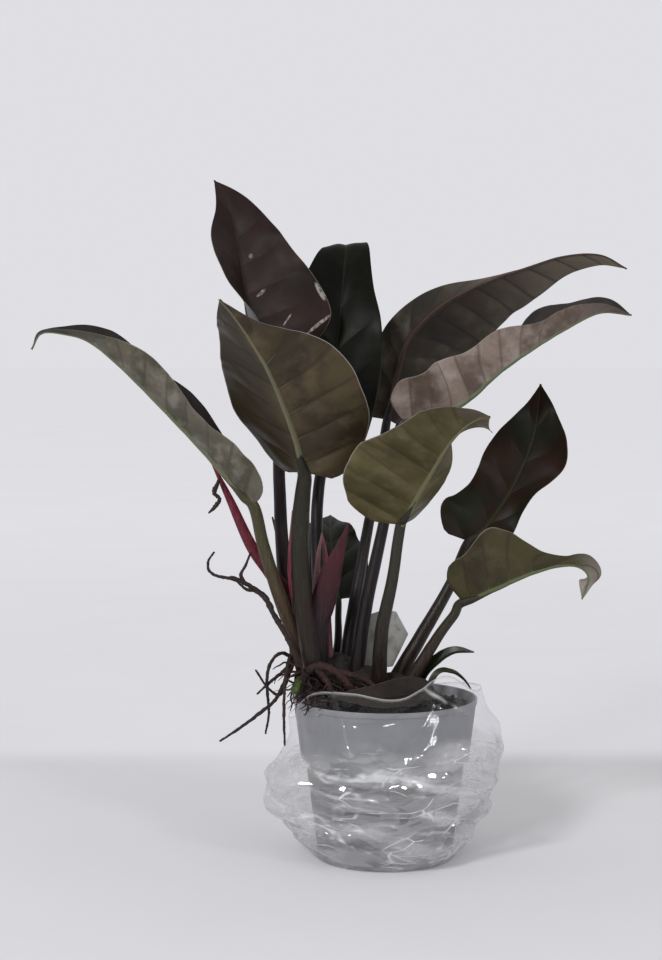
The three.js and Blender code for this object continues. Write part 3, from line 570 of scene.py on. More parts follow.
def blade_shape(leaf, rows=150, side=26):
    """A blade's points and faces, each face's look and the field that its looks read.

    Its grid has a share along the spine for each row, and a column across: from -1 to 1 on the
    midrib, and on to -2 or 2 at the margins.
    """
    curve = Curve(leaf["spine"])
    t = np.r_[FOOT_SHARES, np.linspace(0.072, 1, rows)]
    outer = 1 + np.linspace(0, 1, side + 1)[1:]
    column = np.r_[-outer[::-1], np.linspace(-1, 1, 9), outer]
    centre, tangent = curve.at(t), curve.tangent(t)
    face = spline(leaf["faces"], t)
    face = unit(face - tangent * np.sum(face * tangent, axis=1, keepdims=True))
    sideways = np.cross(tangent, face)
    T, C = np.meshgrid(t, column, indexing="ij")
    right = C > 0

    def each(key):
        return np.where(right, along(leaf[key][1], t)[:, None], along(leaf[key][0], t)[:, None])

    seed = leaf.get("seed", 1)
    around = np.stack([T * 9, np.sign(C) * 3, T * 0 + seed], axis=-1)
    small = leaf.get("rib", 1.0)
    rib = (RIB_TIP + (RIB_WIDTH - RIB_TIP) * (1 - T)) * small
    rounding = 1 - np.minimum(T / 0.08, 1)
    listed = each("half") * np.sqrt(1 - rounding**2) * (1 + 0.02 * noise(around, 1.0))
    width = np.maximum(listed, rib + 0.8 * small)
    distance = np.abs(C)
    reach = np.where(distance <= 1, rib * distance, rib + (width - rib) * (distance - 1))
    a = reach / width
    fold, bend = np.radians(each("fold")), np.radians(each("curl")) + 1e-4
    out = width * (np.sin(fold + bend * a) - np.sin(fold)) / bend
    lift = width * (np.cos(fold) - np.cos(fold + bend * a)) / bend
    wave = np.array(leaf["wave"])[right.astype(int)]
    waved = np.sin(2 * np.pi * (wave[..., 1] * T + wave[..., 2]))
    lift += wave[..., 0] * a**2 * np.minimum(1, width / 25) * waved
    lift += np.minimum(1, width / 40) * a**3 * 1.1 * noise(around * [2.6, 1, 1], 1.0, 3)
    shows_under = leaf["look"] == "under"
    count, depth = leaf["creases"]
    count, slant, start = leaf.get("veins", (count, 0.9, 0.25 if shows_under else 0.75))
    sunk = 1 if shows_under else -1
    vein = count * T - slant * a**0.9 - start
    swell = np.minimum(1, width / 40) * np.sin(np.pi * np.minimum(1, a * 1.15 + 0.04))
    panel = np.stack([np.floor(vein) * 7.3, np.sign(C) * 5, T * 0 + seed], axis=-1)
    swollen = 2 * (1 + 0.45 * noise(panel, 1.0, 8)) * np.abs(np.sin(np.pi * vein)) ** 0.75
    lift += leaf.get("puff", 1.3) * sunk * depth * swell * (1 - swollen)
    free = np.maximum(reach - rib - 3, 0) / width
    opened = np.clip((width - rib - 0.8) / 26, 0, 1)
    back = leaf["lobe"] * free * opened * np.exp(-T / 0.12)
    middle = centre[:, None] + sideways[:, None] * (np.sign(C) * out)[..., None]
    middle = middle + face[:, None] * lift[..., None] - tangent[:, None] * back[..., None]
    normal = unit(np.cross(np.gradient(middle, axis=1), np.gradient(middle, axis=0)))
    half = 0.5 - 0.3 * np.maximum(distance - 1, 0)
    on_rib = np.maximum(1 - distance**1.8, 0)
    groove = np.maximum(1 - distance**2, 0) * 0.5 * rib / RIB_WIDTH
    below = half + on_rib * (RIB_TIP + (RIB_DEPTH * small - RIB_TIP) * (1 - T)) * 0.9
    top = middle + normal * (half - groove)[..., None]
    under = middle - normal * below[..., None]
    n, m = C.shape
    all_of_top = n * m
    sheet = grid_faces(n, m)
    other = grid_faces(n, m, start=all_of_top, flip=True)
    i = np.arange(n - 1) * m
    j = np.arange(m - 1)
    end = (n - 1) * m
    left = np.stack([i, i + m, i + m + all_of_top, i + all_of_top], axis=1)
    i = i + m - 1
    righthand = np.stack([i, i + all_of_top, i + m + all_of_top, i + m], axis=1)
    foot = np.stack([j, j + all_of_top, j + 1 + all_of_top, j + 1], axis=1)
    tip = np.stack([end + j, end + j + 1, end + j + 1 + all_of_top, end + j + all_of_top], axis=1)
    faces = np.concatenate([sheet, other, left, righthand, foot, tip])
    looks = np.zeros(len(faces), int)
    looks[len(sheet) : 2 * len(sheet)] = 1
    field = np.stack([C, T, vein], axis=-1).reshape(-1, 3)
    points = np.concatenate([top.reshape(-1, 3), under.reshape(-1, 3)])
    return points, faces, looks, np.concatenate([field, field])


# What the finer blades have beyond the solids' values: side veins as their number, slant and
# start, how much the blade swells between them (puff), and how wide its midrib is (rib)
FINER = {
    "front_left": dict(rib=1.35, puff=1.7),
    "low_right_back": dict(puff=0.8),
    "high_right": dict(veins=(12, 0.9, 0.25), puff=1.3),
    "mid_right": dict(veins=(12, 0.9, 0.35), puff=1.6),
    "far_left": dict(veins=(10, 0.9, 0.25), puff=1.5),
    "front_centre": dict(veins=(8, 0.9, 0.25), puff=1.3),
    "low_right_front": dict(veins=(7, 0.9, 0.3), puff=1.5),
    "tallest": dict(veins=(9, 0.9, 0.75), puff=0.7),
}
for name, finer in FINER.items():
    LEAVES[name].update(finer)

# Each blade's faces: body, shade, bloom, midrib and rim colours, gloss, and what else sets it apart
UPPER = (("2a201d", "1b1816", "3a2e2a", "44443a", "44443a", 0.36), {})
UNDER = (("443d2e", "302a22", "605a50", "6a6850", "6a655c", 0.42), {})
LEAF_LOOKS = {
    "far_left": (UPPER, (
        ("5f594a", "3f3b2b", "a5a198", "64664e", "8a8676", 0.33),
        # The dark tip colour of this blade's underside is painted shade
        {"tip": (0.6, "2b2822"), "shine": 0.4},
    )),
    "tallest": (
        (("2d1b18", "1e1210", "3a2724", "302a24", "6f6a5c", 0.4), {"shine": 0.18, "marks": [
            (1.19, 0.682, 4, 3, 40), (1.19, 0.537, 8, 2, 40), (1.44, 0.42, 10, 1.2, 61),
            (1.96, 0.53, 4, 12, 0), (1.86, 0.39, 20, 3, 51),
        ]}),
        (("2a1b18", "1a1110", "3a2a27", "3a332c", "4a423c", 0.42), {}),
    ),
    "front_left": (UPPER, (
        ("4d4229", "33291a", "675947", "6c6a50", "98908a", 0.46),
        # This darker colour is painted shade over one half of this blade
        {"painted_shade_half": "2a2314"},
    )),
    "upright": ((("10110a", "0a0a07", "1c1a14", "262a1e", "2c2c24", 0.42), {"shine": 0.08}), UNDER),
    "high_right": (UPPER, (
        ("332a1e", "1d160f", "585042", "3e2a20", "5c5448", 0.46),
        # The lighter tip colour of this blade's underside is painted light
        {"warm": "1f130d", "tip": (0.3, "625a4e")},
    )),
    "mid_right": (UPPER, (
        ("8c7c72", "5c4d43", "c0b2ac", "586548", "7c746c", 0.44),
        {"tip": (0.55, "3d332e")},
    )),
    "front_centre": (UPPER, (
        ("544c2c", "3f391e", "746a4c", "6c6c4c", "88807a", 0.46),
        {"tip": (0.8, "5c5046")},
    )),
    "low_right_back": ((("12150b", "24130b", "202215", "30351f", "3a3a30", 0.42), {"shine": 0.12}), UNDER),
    "low_right_front": (UPPER, (
        ("3f3a20", "2d2515", "5a533a", "56613f", "7c7864", 0.44),
        # The pale tip colour of this blade's underside is a painted sheen
        {"tip": (0.72, "a39a92")},
    )),
    "small_back": ((("14170e", "0e120b", "1f2217", "343c2a", "2e2e26", 0.42), {"shine": 0.12}), UNDER),
}

# Each stalk: its colour towards the top, low down and in its streaks
STALK_LOOKS = {
    "far_left": ("3f3a26", "40291f", "5a553d"),
    "tallest": ("1c1112", "160d0d", "342426"),
    "front_left": ("242216", "241813", "333125"),
    "upright": ("120c0d", "120b0c", "231a1c"),
    "high_right": ("1e1819", "181112", "383032"),
    "mid_right": ("201a1b", "191212", "383033"),
    "front_centre": ("2e2d22", "211714", "3b382d"),
    "low_right_back": ("241f17", "271a15", "3b3429"),
    "low_right_front": ("2e2a1e", "2e201b", "474032"),
    "small_back": ("1a1c14", "191312", "2b2d25"),
}


def stalk_shape(leaf):
    """A stalk that runs on into its blade's midrib, under the blade."""
    curve = Curve(leaf["spine"])
    t = np.array([0.3, 0.65, 1]) * min(1, NECK / curve.length)
    face = unit(spline(leaf["faces"], t))
    line = curve.at(t) - face * np.array([1.0, 1.8, 2.6])[:, None]
    neck = np.array(leaf["spine"][0], float) - 4 * curve.tangent(np.array([0.0]))[0]
    points = [*leaf["stalk"], neck, *line]
    blade_from = 1 - NECK / Curve(points).length
    share = np.linspace(0, 1, 30)
    radii = leaf["foot"] * along(leaf.get("taper", STALK_TAPER), np.minimum(share / blade_from, 1))
    radii = radii * (1 - 0.85 * smooth(blade_from - 0.03, 1, share))

    def relief(t, angle):
        ridges = 0.012 * np.sin(9 * angle + 2 * t) + 0.01 * np.sin(17 * angle)
        channel = 0.1 * np.exp(-(((angle - 1.5 * np.pi) / 0.35) ** 2)) * smooth(0.0, 0.3, t)
        return 1 + ridges - channel + 0.015 * np.sin(40 * t + angle) * np.sin(7 * t)

    return tube(points, radii, sides=36, rings=110, relief=relief)


# The numbers that set one blade's small waves apart from the next one's
FIRST_SEED, SEED_STEP = 39, 2

for number, (name, leaf) in enumerate(LEAVES.items()):
    (upper, upper_more), (under, under_more) = LEAF_LOOKS[name]
    looks = [
        blade_look(f"{name}_upper", *upper, upper=True, **upper_more),
        blade_look(f"{name}_under", *under, **under_more),
    ]
    leaf["seed"] = FIRST_SEED + SEED_STEP * number
    points, faces, look_of, field = blade_shape(leaf)
    piece(f"{name}_blade", (points, faces), looks, [f"blade_{name}"], look_of, {"leaf": field})
    stalk = stalk_shape(leaf)
    look = stalk_look(f"{name}_stalk", *STALK_LOOKS[name])
    piece(f"{name}_stalk", stalk, look, [f"stalk_{name}"])

# Sheaths


def sheath_relief(edge, depth=0.3):
    """A rolled sheath: a step runs up it where one edge laps over the other, from that way round."""

    def relief(t, angle):
        turn = (angle - edge - 0.5 * t) % (2 * np.pi)
        lap = np.exp(-((np.minimum(turn, 2 * np.pi - turn) / 0.16) ** 2))
        over = 0.06 * smooth(0, 1.2, turn) * (1 - smooth(4, 6, turn))
        return 1 - depth * lap + over + 0.01 * np.sin(14 * angle)

    return relief


# Each sheath: the points it runs through, its radii, how flat it is and which way its flat side
# faces, and its colours at the top, low down and in its streaks
SHEATHS = {
    "crimson_left": (
        [[-108, 0, 242], [-113, -2, 310], [-140, -10, 350], [-163, -12, 383], [-188, -12, 438],
         [-211, -12, 486]],
        [8, 8.5, 8, 6.5, 4.5, 1], 0.5, (0, -1, 0.02), ("641b2b", "45141f", "85404c"),
    ),
    "pink": (
        [[-92, -3, 246], [-106, -13, 300], [-113, -20, 340], [-114, -24, 375], [-112, -26, 426]],
        [4.5, 4.5, 4, 1], 0.6, (0, -1, 0.02), ("86303f", "501f2a", "a85c68"),
    ),
    "crimson_front": (
        [[-78, -18, 238], [-82, -20, 287], [-76, -22, 314], [-66, -26, 351], [-52, -30, 389],
         [-45, -32, 412]],
        [8, 12, 14.5, 13, 7, 1], 0.36, (0.2, -1, 0.1), ("451520", "20181b", "4a2c33"),
    ),
    "pale": (
        [[-78, 2, 240], [-83, 4, 314], [-82, 4, 363], [-77, 2, 396]],
        [4, 4, 3.5, 1], 0.6, (0, -1, 0.02), ("a07478", "62404a", "bc9898"),
    ),
    "rose": (
        [[-67, 8, 238], [-71, 10, 313], [-72, 10, 362], [-76, 12, 392]],
        [4, 4, 3.5, 1], 0.6, (0, -1, 0.02), ("8a4450", "502830", "a8747c"),
    ),
    "papery": (
        [[-98, 30, 236], [-116, 28, 311], [-127, 26, 373], [-138, 24, 414]],
        [5, 5, 4.5, 1], 0.4, (0, -1, 0.02), ("5a4c50", "3c3034", "766a6e"),
    ),
}
for name, (points, radii, flat, face, colors) in SHEATHS.items():
    shape = tube(points, radii, 48, 110, flat, face, sheath_relief(5.0 if name == "pale" else 4.4))
    look = stalk_look(f"{name}_sheath", *colors, gloss=0.4, turned=(0.2, 0.8))
    piece(f"{name}_sheath", shape, look, [f"sheath_{name}"])

# Small leaves at the foot

SMALL_LEAVES = {
    "basal_leaf_upper": dict(
        spine=[[36, -8, 190], [48, -10, 223], [66, -14, 243], [85, -18, 254], [107, -22, 254]],
        faces=[[-0.3, -0.6, 0.7]], half=[[5, 7, 9, 10, 9, 6, 1]] * 2,
    ),
    "basal_leaf_lower": dict(
        spine=[[44, -30, 190], [62, -30, 228], [80, -26, 230], [94, -20, 221], [104, -16, 208]],
        faces=[[0, -0.3, 1]], half=[[3.5, 5, 6, 6, 5, 3, 1]] * 2,
    ),
    "old_leaf": dict(
        spine=[[56, -72, 217], [20, -84, 213], [-14, -88, 210], [-46, -84, 210], [-70, -74, 209]],
        faces=[[0, -0.85, 0.5]], half=[[9, 18, 21, 20, 18, 14, 10, 5, 1]] * 2,
    ),
}
basal_looks = [
    blade_look("basal_upper", "28301f", "1c2016", "3a4230", "3f4a30", "3f4a30", 0.33, upper=True),
    blade_look("basal_under", "333a28", "24291d", "4c5240", "5a6444", "4c5240", 0.42),
]
old_looks = [
    blade_look("old_upper", "2c221d", "1a1512", "40342c", "3a3026", "3a3026", 0.5, upper=True),
    blade_look("old_under", "30261f", "1c1714", "463a30", "40362a", "40362a", 0.5),
]
for name, leaf in SMALL_LEAVES.items():
    leaf.update(fold=[[25], [25]], curl=[[10], [10]], wave=[[0.6, 3, 0.1], [0.6, 2.5, 0.4]], lobe=0)
    leaf.update(creases=[6, 0.5], look="upper", rib=0.45)
    points, faces, look_of, field = blade_shape(leaf, rows=70, side=12)
    looks = old_looks if name == "old_leaf" else basal_looks
    piece(f"{name}_blade", (points, faces), looks, [name], look_of, {"leaf": field})
stub = tube([[-94, -26, 222], [-102, -46, 225], [-109, -64, 215]], [5, 5.5, 5.5], 30, 24)
piece("stub", stub, stalk_look("stub", "4c5a32", "3a4428", "6a7848"), ["stem_stub"])

# Roots

ROOTS = {
    "hanging_roots": [
        ([[-110, -32, 248], [-124, -42, 256], [-134, -52, 252], [-141, -58, 238], [-142, -60, 215],
          [-140, -60, 187], [-144, -60, 162]], [2.4, 2, 1.8, 1.2]),
        ([[-110, -32, 248], [-118, -46, 226], [-126, -62, 210], [-140, -70, 218], [-155, -74, 241]],
         [2.4, 2, 1.6, 1.2]),
        ([[-110, -32, 248], [-122, -46, 236], [-138, -56, 224], [-154, -60, 210]], [2.4, 2, 1.8, 1.2]),
        ([[-110, -32, 248], [-120, -50, 226], [-132, -84, 207], [-146, -106, 198], [-172, -116, 180],
          [-195, -118, 165]], [2.6, 2.2, 2, 1.2]),
        ([[-110, -32, 248], [-116, -52, 250], [-120, -84, 228], [-121, -106, 200], [-120, -108, 158]],
         [2.4, 2, 1.8, 1.2]),
    ],
    "upper_roots": [
        ([[-101, -47, 228], [-106, -52, 244], [-112, -50, 262], [-122, -46, 282], [-134, -42, 302],
          [-144, -34, 320], [-157, -32, 331], [-172, -32, 341], [-186, -33, 346]],
         [3, 2.8, 3.2, 3.6, 3.2, 2.6]),
        ([[-180, -32, 344], [-202, -34, 348], [-212, -36, 355], [-213, -36, 366], [-206, -36, 377]],
         [2.2, 1.8, 1.2]),
        ([[-157, -32, 331], [-166, -40, 332], [-178, -44, 342]], [2.2, 1.8, 1.2]),
        ([[-170, -32, 340], [-174, -36, 350], [-168, -38, 362], [-162, -38, 377]], [2.2, 1.8, 1.2]),
    ],
    "surface_roots": [
        ([[-100, -50, 220], [-94, -56, 236], [-79, -57, 243], [-61, -57, 236], [-43, -60, 216],
          [-36, -64, 182]], [5, 4.5, 4.5, 4]),
        ([[-84, -56, 240], [-70, -61, 224], [-62, -68, 204], [-60, -72, 180]], [4, 3.6, 3.2]),
        ([[-66, -56, 237], [-44, -54, 232], [-20, -50, 221], [-4, -56, 204], [4, -62, 180]],
         [4, 3.6, 3.2]),
    ],
    "shrivelled_tip": [
        ([[-200, -22, 464], [-206, -24, 448], [-200, -24, 440], [-205, -24, 431], [-213, -24, 423]],
         [1.6, 3, 2.2, 2.6, 1]),
    ],
}


def root_shape(points, radii, sides=14):
    """A knobbly root, with a ring about every 1.3 mm. Where it ends sets its knobs apart."""
    seed = abs(points[-1][0]) + abs(points[-1][2])

    def relief(t, angle):
        place = np.stack(np.broadcast_arrays(40 * t, np.cos(angle), np.sin(angle) + seed), axis=-1)
        return 1 + 0.22 * noise(place, 1.0) + 0.1 * noise(place * 3, 1.0, 4)

    rings = int(Curve(points).length / 1.3) + 8
    return tube(points, radii, sides, rings, face=(0.1, -1, 0.15), relief=relief)


ROOTLETS = 130
SOIL_TOP = 186


def rootlets(count, seed):
    """A tangle of thin roots over the front of the crown. None dips into the soil."""
    rng = np.random.default_rng(seed)
    made = []
    for _ in range(count):
        x = rng.uniform(-112, 4)
        y = -46 + 0.1 * abs(x + 50) - rng.uniform(0, 22)
        start = np.array([x, y, 246 - 0.34 * (x + 100) - rng.uniform(4, 34)])
        way = unit(np.array([rng.uniform(-1, 1), rng.uniform(-0.5, 0.1), rng.uniform(-0.7, 0.25)]))
        points = [start]
        for _ in range(5):
            way = unit(way + rng.uniform(-0.65, 0.65, 3) + [0, 0, -0.12])
            points.append(points[-1] + way * rng.uniform(5, 11))
        points = [[x, y, max(z, SOIL_TOP)] for x, y, z in points]
        thick = rng.uniform(0.5, 1.5)
        made.append(tube(points, [thick, thick * 0.9, thick * 0.75, thick * 0.4], 6, 24))
    return made


def root_look(name, body, dark, pale):
    """Rough skin for roots, crown and soil, in three colours."""
    look = Look(name, roughness=0.8)
    rough = look.noise(1.0, 5.0, 0.65, stretch=(260.0, 260.0, 260.0))
    patches = look.noise(55.0, 3.0, 0.6)
    color = look.mix(look.step(patches, 0.35, 0.68), body, dark)
    color = look.mix(look.step(rough, 0.52, 0.75, 0.0, 0.6), color, pale)
    return look.finish(color, look.step(rough, 0.3, 0.7, 0.7, 0.9), look.bump(rough, 0.0012, 0.8))


dark_root = root_look("dark_root", "2c1d1a", "1b1311", "4c352e")
brown_root = root_look("brown_root", "341a18", "1e1110", "4f2c28")
for name, roots in ROOTS.items():
    on_soil = name == "surface_roots"
    shape = merged([root_shape(*root) for root in roots] + (rootlets(ROOTLETS, 3) if on_soil else []))
    shown = "dry_tip" if name == "shrivelled_tip" else f"{name}_bunch"
    piece(shown, shape, brown_root if on_soil else dark_root, [name])

# Crown


def ball(centre, radii, rings=40, sides=56):
    """A closed lump with its own radius along each axis."""
    lat = np.linspace(0, np.pi, rings)
    turn = np.linspace(0, 2 * np.pi, sides, endpoint=False)
    LAT, TURN = np.meshgrid(lat[1:-1], turn, indexing="ij")
    rows = np.stack([np.sin(LAT) * np.cos(TURN), np.sin(LAT) * np.sin(TURN), np.cos(LAT)], axis=-1)
    points = np.vstack([rows.reshape(-1, 3), [[0, 0, 1], [0, 0, -1]]]) * radii + centre
    quads = grid_faces(rings - 2, sides, closed=True, flip=True).tolist()
    top, low = len(points) - 2, len(points) - 1
    last = (rings - 3) * sides
    fans = [[top, k, (k + 1) % sides] for k in range(sides)]
    fans += [[low, last + (k + 1) % sides, last + k] for k in range(sides)]
    return points, quads + fans


def fused(shape, voxel):
    """The shape as one skin, remeshed at that many millimetres: its points, faces and normals."""
    points, faces = shape
    mesh = bpy.data.meshes.new("fusing")
    mesh.from_pydata(np.asarray(points).tolist(), [], faces)
    thing = placed("fusing", mesh)
    remesh = thing.modifiers.new("remesh", "REMESH")
    remesh.mode = "VOXEL"
    remesh.voxel_size = voxel
    done = thing.evaluated_get(bpy.context.evaluated_depsgraph_get()).to_mesh()
    points = np.array([v.co for v in done.vertices])
    normals = np.array([v.normal for v in done.vertices])
    faces = [list(p.vertices) for p in done.polygons]
    bpy.data.objects.remove(thing)
    return points, faces, normals


CROWN = [
    ([-84, -4, 220], [27, 32, 32]), ([-56, 12, 216], [26, 28, 32]), ([-24, -4, 208], [28, 28, 28]),
    ([10, -6, 202], [26, 24, 24]), ([34, -10, 196], [18, 20, 18]),
]
points, faces, normals = fused(merged([ball(*lump) for lump in CROWN]), 1.5)
height = 1.6 * noise(points, 16) + 0.9 * noise(points, 6, 2) + 0.4 * noise(points, 2.4, 5)
height += 0.9 * np.abs(np.sin(points[:, 2] / 3.2 + 1.2 * noise(points, 22, 7))) ** 0.5 - 0.9
crown_look = root_look("crown", "1d1413", "120d0c", "332523")
piece("crown_lump", (points + normals * height[:, None], faces), crown_look, ["crown"])

# Pot


def lathe(profile, sides, wobble=None):
    """A profile of radii and heights turned round the middle. wobble may move its points."""
    profile = np.asarray(profile, float)
    angle = np.linspace(0, 2 * np.pi, sides, endpoint=False)
    radius = np.repeat(profile[:, :1], sides, axis=1)
    height = np.repeat(profile[:, 1:], sides, axis=1)
    if wobble is not None:
        radius, height = wobble(radius, height, angle[None, :])
    rows = np.stack([radius * np.cos(angle), radius * np.sin(angle), height], axis=-1)
    count = len(rows)
    quads = grid_faces(count, sides, closed=True).tolist()
    ends = [list(reversed(range(sides))), [(count - 1) * sides + k for k in range(sides)]]
    return rows.reshape(-1, 3), quads + ends


def eased(profile, radius, turns=4):
    """A profile with its corners rounded off."""
    p = np.asarray(profile, float)
    done = [p[0]]
    for a, b, c in zip(p[:-2], p[1:-1], p[2:]):
        cut = min(radius, np.linalg.norm(a - b) / 2, np.linalg.norm(c - b) / 2)
        start, end = b + unit(a - b) * cut, b + unit(c - b) * cut
        for s in np.linspace(0, 1, turns):
            done.append((1 - s) ** 2 * start + 2 * s * (1 - s) * b + s * s * end)
    return done + [p[-1]]


# The pot from the middle of its foot up the outside, over its rim and down the inside again
POT_PROFILE = [
    [4, 1.2], [80, 1.2], [82, 3], [86, 34], [85, 35], [85.4, 38.5], [86.8, 39.5], [91.4, 76],
    [90.4, 78], [91.4, 86], [93, 87.5], [96.4, 115], [100.4, 118], [102.4, 120], [111, 188],
    [112.5, 190], [112.5, 196], [109.9, 196], [108.4, 188], [99.8, 120], [93.6, 112], [79, 4.2], [4, 4.2],
]
# Heights in metres of the hollows between the pot's raised rings, where shade is painted, and of its plain
# upper band
SHADED_POT_HOLLOWS = (0.1, 0.068, 0.03)
POT_BAND = (0.112, 0.12)


def pot_look():
    """Scuffed grey plastic, darker below the band, with painted shade darkest in the hollows between the
    rings.
    """
    look = Look("pot", roughness=0.48, Specular_IOR_Level=0.45)
    clouds = look.noise(22.0, 4.0, 0.55)
    scuffs = look.noise(1.0, 4.0, 0.7, stretch=(90.0, 90.0, 900.0))
    specks = look.noise(900.0, 2.0, 0.5)
    color = look.mix(look.step(clouds, 0.3, 0.7), "939498", "86878b")
    height = look.node("ShaderNodeSeparateXYZ")
    look.links.new(look.place, height.inputs[0])
    shaded = look.step(height.outputs[2], *POT_BAND, 0.3, 0.0)
    # Painted shade in the hollows between the rings
    for middle in SHADED_POT_HOLLOWS:
        off = look.math("ABSOLUTE", look.math("SUBTRACT", height.outputs[2], middle))
        shaded = look.most(shaded, look.step(off, 0.0025, 0.008, 0.9, 0.0))
    color = look.mix(shaded, color, "4c4d51")
    color = look.mix(look.step(scuffs, 0.58, 0.8, 0.0, 0.35), color, "a5a6a9")
    color = look.mix(look.step(specks, 0.66, 0.75, 0.0, 0.3), color, "66676a")
    normal = look.bump(look.plus(specks, look.times(clouds, 2.0)), 0.0004, 0.5)
    return look.finish(color, look.step(scuffs, 0.4, 0.75, 0.42, 0.62), normal)


piece("pot_shell", lathe(eased(POT_PROFILE, 0.9), 180), pot_look(), ["pot"])

# Soil

SOIL_LEVEL = 184
SOIL_EDGE = 106
SOIL_CRUMBS = 420


def soil_wobble(radius, height, angle):
    """Moves the top of the soil up and down a few millimetres."""
    x, y = radius * np.cos(angle), radius * np.sin(angle)
    top = height > SOIL_LEVEL - 3
    place = np.stack([x, y, x * 0], axis=-1)
    bump = 3 * np.sin(x / 9 + 1) * np.sin(y / 11) + 2 * np.sin(x / 5 - y / 7)
    bump = 0.6 * bump + 1.5 * noise(place, 7) + 1.1 * noise(place, 3, 2) + 0.6 * noise(place, 1.6, 3)
    return radius, height + np.where(top, bump * smooth(0, 8, radius), 0)


soil_rows = [[4, 4.6], [78, 4.6], [92.2, 112], [98.4, 120], [105, 176]]
soil_rows += [
    [r, SOIL_LEVEL - 1.5 * smooth(SOIL_EDGE - 10, SOIL_EDGE, r)] for r in np.linspace(SOIL_EDGE, 2, 74)
]
rng = np.random.default_rng(7)
crumbs = []
for _ in range(SOIL_CRUMBS):
    r = (SOIL_EDGE - 3) * math.sqrt(rng.random())
    turn = rng.random() * 2 * math.pi
    x, y = r * math.cos(turn), r * math.sin(turn)
    size = rng.uniform(0.8, 2.8)
    centre = [x, y, SOIL_LEVEL + rng.uniform(0.5, 3.2)]
    crumbs.append(ball(centre, [size * rng.uniform(0.6, 1.6), size, size * 0.7], 6, 7))
soil_look = root_look("soil", "150f0c", "0c0908", "261c17")
soil_shape = merged([lathe(soil_rows, 150, soil_wobble), *crumbs])
piece("soil_bed", soil_shape, soil_look, ["soil"])

# Plant label

LABEL_MIDDLE = 18.45
LABEL_THICKNESS = 0.9
LABEL = [
    [-26, 292], [-2, 300], [14, 298], [29, 270], [10, 230], [-6, 228], [-6, 182], [-8, 176],
    [-10, 182], [-10, 228], [-27, 232],
]


def card(outline, middle, thickness, ease=1.2):
    """A thin upright card with rounded corners and bevelled edges."""
    p = np.array(eased([*outline, *outline[:2]], ease, 4))[1:-1]
    n = len(p)
    inward = unit(p.mean(axis=0) - p) * 0.25
    rows = []
    for shift, depth in ((1, 0.5), (0, 0.3), (0, -0.3), (1, -0.5)):
        q = p + inward * shift
        y = np.full(n, middle + depth * thickness)
        rows.append(np.stack([q[:, 0], y, q[:, 1]], axis=1))
    quads = grid_faces(4, n, closed=True).tolist()
    return np.concatenate(rows), quads + [list(reversed(range(n))), [3 * n + k for k in range(n)]]


def label_look():
    look = Look("label", roughness=0.45)
    stains = look.noise(60.0, 4.0, 0.6, warp=0.5)
    color = look.mix(look.step(stains, 0.45, 0.7), "9c9b98", "76726c")
    return look.finish(color, None, look.bump(look.noise(700.0, 2.0), 0.0002, 0.4))


label = card(LABEL, LABEL_MIDDLE, LABEL_THICKNESS)
piece("label_card", label, label_look(), ["plant_label"], smooth_faces=False)

# Clear wrap

# The height of its edge from +X round to +X again, then from its foot to its edge its radius and
# how far it leans to +X, and each ring of its flat foot as a radius and a height
FILM_EDGE = [209, 204, 196, 190, 184, 176, 166, 184, 214, 219, 214, 238, 214, 209]
FILM_RADIUS = [87, 105, 114, 123, 131, 137, 140, 142, 141, 137, 130, 122, 117, 116]
FILM_LEAN = [0, -1, -4, -8, -7, 0, 4, 5, 2, 0]
FILM_FOOT = ((30, 0.05), (60, 0.05), (78, 0.05), (84, 0.4), (86, 2.5))
FILM_START = 6
# Above the first, a height, the film stays outside the second, a radius, and so clear of the rim
RIM_BELOW, RIM_CLEAR = 165, 114.5
# Each net of folds: cells round the film, their height, their slant and how far they push the film.
# A net repeats after this many rows of cells.
NET_ROWS = 40
LOW_FOLDS = [(11, 34, 0.4, 5.5), (17, 15, -0.6, 3.6), (25, 10, 0.8, 1.6)]
HIGH_FOLDS = [(8, 62, 0.7, 4.5), (13, 35, -0.9, 2.0)]
# Long tense creases in front: both ends as x and z and how far each one stands out. Each slopes
# down over this many millimetres on both sides.
CREASE_REACH = 9
TENSE_CREASES = [
    (-75, 221, -42, 152, 2.2), (70, 198, 28, 146, 2.0), (46, 226, 95, 192, 2.6), (88, 214, 60, 150, 1.6),
    (-108, 152, -60, 128, 1.8),
]


def facets(run, rise, around, seed):
    """Heights from -1 to 1 over a net of flat triangles, which meet in sharp folds."""
    heights = np.random.default_rng(seed).uniform(-1, 1, (NET_ROWS, around))
    i, j = np.floor(run).astype(int), np.floor(rise).astype(int)
    x, y = run - i, rise - j
    corners = ((0, 0), (1, 0), (0, 1), (1, 1))
    low, right, up, far = (heights[(j + b) % NET_ROWS, (i + a) % around] for a, b in corners)
    near_side = low + x * (right - low) + y * (up - low)
    return np.where(x + y < 1, near_side, far + (1 - x) * (up - far) + (1 - y) * (right - far))


def crumple(place, turn, families, seed):
    """How far folds push the film out."""
    push = np.zeros(turn.shape)
    for k, (around, height, slant, size) in enumerate(families):
        bend = [0.5 * noise(place, 60, seed + k + shift) for shift in (0, 7)]
        rise = place[..., 2] / height + bend[0]
        push += size * facets(turn * around + slant * rise + bend[1], rise, around, seed + k)
    return push


def tense(place):
    """The ridges that the long creases raise in front."""
    push = np.zeros(place.shape[:-1])
    for x0, z0, x1, z1, height in TENSE_CREASES:
        start, way = np.array([x0, z0], float), np.array([x1 - x0, z1 - z0], float)
        off = place[..., [0, 2]] - start
        share = np.clip((off @ way) / (way @ way), 0, 1)
        gap = np.linalg.norm(off - share[..., None] * way, axis=-1)
        push += np.where(place[..., 1] < 0, height * np.clip(1 - gap / CREASE_REACH, 0, 1), 0)
    return push


